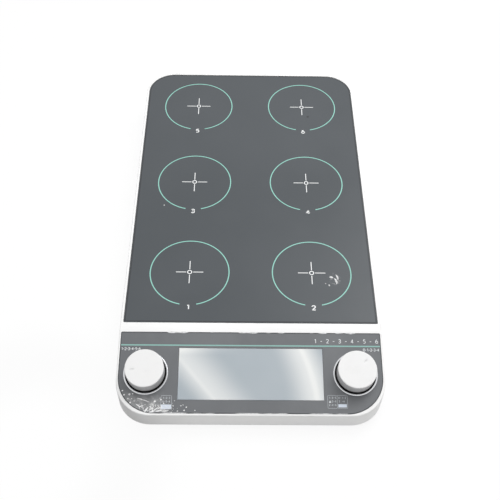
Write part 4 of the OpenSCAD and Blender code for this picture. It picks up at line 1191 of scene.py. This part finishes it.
def buildRocker():
    # section in (along, out), drawn up the rocker's height and shrunk a little at both ends to round them
    r = rocker
    tip = r["rise"] + r["half"] * rockerSlope
    low, bend, soft = tip - r["end"], -r["shoulder"] * r["barrel"], r["soft"]
    section = softCorners([(-r["half"], tip, soft), (-r["half"], low, soft), (-r["barrel"], bend, soft),
                           (0, -r["barrel"], 2 * soft), (r["barrel"], bend, soft), (r["half"], low, soft),
                           (r["half"], tip, soft), (0, r["rise"], 8 * soft)], 6, True)
    middle = section * 0 + [0, low]
    half = r["high"] / 2
    lower = [(0, -half)] + [(share, way * soft - half) for share, way in r["ends"]]
    stations = lower + [(share, -up) for share, up in reversed(lower)]
    points = stack([middle + (section - middle) * share for share, up in stations],
                   [up for share, up in stations])
    mesh = meshOf("rockerCap", [(onRocker(points[..., [0, 2, 1]]), True, False)])
    showPiece(mesh, rockerBlack, "rocker", ["power_rocker"], "black_plastic")
    bar = [(r["markAt"], -r["markHalf"]), (r["markAt"], r["markHalf"])]
    circle = ring((-r["markAt"], 0), r["markHalf"], 40)
    signs = [ribbon(bar, r["markWidth"]), ribbon(circle, r["markWidth"], True)]

    def onFace(points):
        # (along, up, height) on the hollow face, which rises evenly from the middle to both ends
        return onRocker(points + np.abs(points[..., :1]) * [0, 0, rockerSlope] + [0, 0, r["rise"]])

    showStrips("rockerSigns", signs, onFace, whiteInk, "rocker")


buildSocket()
buildSwitch()
buildRocker()
print("rear fittings ready")


# Feet with a hollow sole

foot = {
    "radius": 9 * mm, "high": 5 * mm, "round": 1.2 * mm, "soft": 0.2 * mm,
    "hollow": 4.6 * mm, "hollowDeep": 0.5 * mm,
    "groove": 6.2 * mm, "grooveHalf": 0.3 * mm, "grooveDeep": 0.4 * mm, "grooveSoft": 0.1 * mm,
}


def buildFoot(node):
    # turned section: hollow sole with a groove round it, and a straight side with a rounded foot
    f = foot
    low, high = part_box(node)
    centre = np.array([(low.x + high.x) / 2, (low.y + high.y) / 2, low.z])
    soft, groove, half, edge = f["soft"], f["groove"], f["grooveHalf"], f["grooveSoft"]
    profile = softCorners([(0, f["hollowDeep"], 0), (f["hollow"], f["hollowDeep"], soft),
                           (f["hollow"] + f["hollowDeep"], 0, soft), (groove, 0, edge),
                           (groove + half, f["grooveDeep"], edge), (groove + 2 * half, 0, edge),
                           (f["radius"], 0, f["round"]), (f["radius"], f["high"], soft), (0, f["high"], 0)])
    name = "".join(word.capitalize() for word in node.split("_"))
    mesh = meshOf(f"sole{name}", [(lathe(profile, 96) + centre, True, False)])
    showPiece(mesh, footRubber, "casing", [node], "foot_rubber")


for node in frame["nodes"]:
    if node.startswith("foot_"):
        buildFoot(node)
print("feet ready")


# Finishes of the CAD nodes that stay as they are, by their slots

def dressInside():
    # every node takes the finish of its slot
    steel = metal("brightSteel", (0.62, 0.62, 0.62), (0.48, 0.48, 0.48), 0.3, (1, 1, 0.1))
    finishes = {
        "base_grey": mouldedPlastic("basePlastic", (0.62, 0.62, 0.615), (0.54, 0.54, 0.535), 0.5, 1800),
        "tape_foam": foam("tapeFoam"),
        "lcd_glass": clearGuide("displayCell"),
        "light_guide": clearGuide("lightGuide"),
        "black_plastic": blackPlastic,
        "board_green": circuitBoard("circuitBoard"),
        "deck_steel": metal("zincDeck", (0.58, 0.59, 0.61), (0.46, 0.47, 0.48), 0.4, (8, 1, 1)),
        "motor_can": metal("motorCan", (0.40, 0.41, 0.42), (0.30, 0.31, 0.32), 0.36, (1, 1, 8)),
        "bush_bronze": metal("bushBronze", (0.52, 0.33, 0.15), (0.38, 0.23, 0.10), 0.42),
        "bright_steel": steel,
        "encoder_case": metal("encoderCase", (0.46, 0.46, 0.46), (0.34, 0.34, 0.34), 0.36, (6, 1, 1)),
        "carrier_nylon": mouldedPlastic("carrierNylon", (0.74, 0.71, 0.62), (0.66, 0.63, 0.54), 0.45),
        "magnet_nickel": metal("magnetNickel", (0.66, 0.63, 0.58), (0.56, 0.53, 0.48), 0.18),
        "ribbon_grey": flatCable("flatCable"),
        "lead_red": mouldedPlastic("leadRed", (0.40, 0.03, 0.025), (0.30, 0.02, 0.018), 0.4),
    }
    dressed = 0
    for part in frame["record"]["subparts"]:
        if part["material_slot"] in finishes:
            dressNode(part["node"], finishes[part["material_slot"]])
            dressed += 1
    print("inside:", dressed, "nodes dressed")


dressInside()


# Camera, light and floor

view = {
    "place": (-10.66 * mm, -492.35 * mm, 613.28 * mm),
    "turn": (37.762, -0.924, -0.101),   # degrees
    "lens": 56.86, "sensor": 36,        # millimetres
    "clip": (0.01, 20),
}
studio = {
    "ambient": 0.36,        # level of the surroundings on what they light
    "softbox": {"place": (0.12, 0.2, 1.7), "size": (0.8, 2.0), "watts": 23.5, "mirrored": False},
    "side": {"place": (0.62, 0.5, 1.1), "size": (0.6, 0.6), "watts": 5, "mirrored": True},
    "floorGlow": 0.9,       # how far the floor is lifted to white where it is seen
    "floorReach": 4,
    # beside the left front corner the floor throws less light back: middle, inner and outer reach
    "patch": (-0.18, -0.23), "patchReach": (0.03, 0.14), "patchGlow": 0.1,
}


def buildCamera():
    # the pinhole camera that was solved from the rings and edges of the plate
    lens = bpy.data.cameras.new("photoCamera")
    lens.lens, lens.sensor_width = view["lens"], view["sensor"]
    lens.clip_start, lens.clip_end = view["clip"]
    camera = bpy.data.objects.new("photoCamera", lens)
    camera.location = view["place"]
    camera.rotation_euler = [math.radians(angle) for angle in view["turn"]]
    bpy.context.scene.collection.objects.link(camera)
    bpy.context.scene.camera = camera


def buildFloor():
    # white paper that throws less light back beside the left front corner, which shades that corner;
    # it is lifted towards white where it is seen, and keeps a faint shadow
    reach = studio["floorReach"]
    mesh = bpy.data.meshes.new("studioFloor")
    mesh.from_pydata([(-reach, -reach, 0), (reach, -reach, 0), (reach, reach, 0), (-reach, reach, 0)],
                     [], [(0, 1, 2, 3)])
    floor = bpy.data.objects.new("studioFloor", mesh)
    bpy.context.scene.collection.objects.link(floor)
    paper = Finish("studioPaper", roughness=0.9, specularIORLevel=0.1)
    x, y = paper.axes()[:2]
    patchX, patchY = studio["patch"]
    shade = (((x - patchX) ** 2 + (y - patchY) ** 2) ** 0.5).fall(*studio["patchReach"])
    white = paper.mix(paper.noise(30, 3), (0.90, 0.90, 0.90), (0.92, 0.92, 0.92))
    paper.set(baseColor=paper.mix(shade, white, (0.04, 0.04, 0.04)))
    glow = paper.node("ShaderNodeEmission", {}, {"Color": (1, 1, 1, 1), "Strength": 1.0})
    plain = Wire(paper, paper.shader.outputs[0])
    lift = shade * studio["patchGlow"] + studio["floorGlow"]
    blend = paper.node("ShaderNodeMixShader", {}, {0: paper.seen() * lift, 1: plain, 2: glow})
    paper.join(blend, paper.tree.nodes["Material Output"].inputs["Surface"])
    mesh.materials.append(paper.material)


def buildWorld():
    # white where the camera, a reflection or clear material looks at it, and dimmer as a light
    world = bpy.data.worlds.new("studio")
    bpy.context.scene.world = world
    world.use_nodes = True
    sky = Graph(world.node_tree)
    strength = sky.seen() * (1 - studio["ambient"]) + studio["ambient"]
    backdrop = world.node_tree.nodes["Background"].inputs
    sky.join((1, 1, 1, 1), backdrop["Color"])
    sky.join(strength, backdrop["Strength"])


def buildLamp(name):
    # soft lamp that faces the middle of the part, with its width level
    lamp = studio[name]
    light = bpy.data.lights.new(name, "AREA")
    light.shape, light.energy = "RECTANGLE", lamp["watts"]
    light.size, light.size_y = lamp["size"]
    holder = bpy.data.objects.new(name, light)
    holder.location = lamp["place"]
    holder.rotation_euler = holder.location.to_track_quat("Z", "Y").to_euler()
    holder.visible_glossy = lamp["mirrored"]
    bpy.context.scene.collection.objects.link(holder)


buildCamera()
buildFloor()
buildWorld()
buildLamp("softbox")
buildLamp("side")
bpy.context.scene.view_settings.view_transform = "Standard"
print("stage ready")
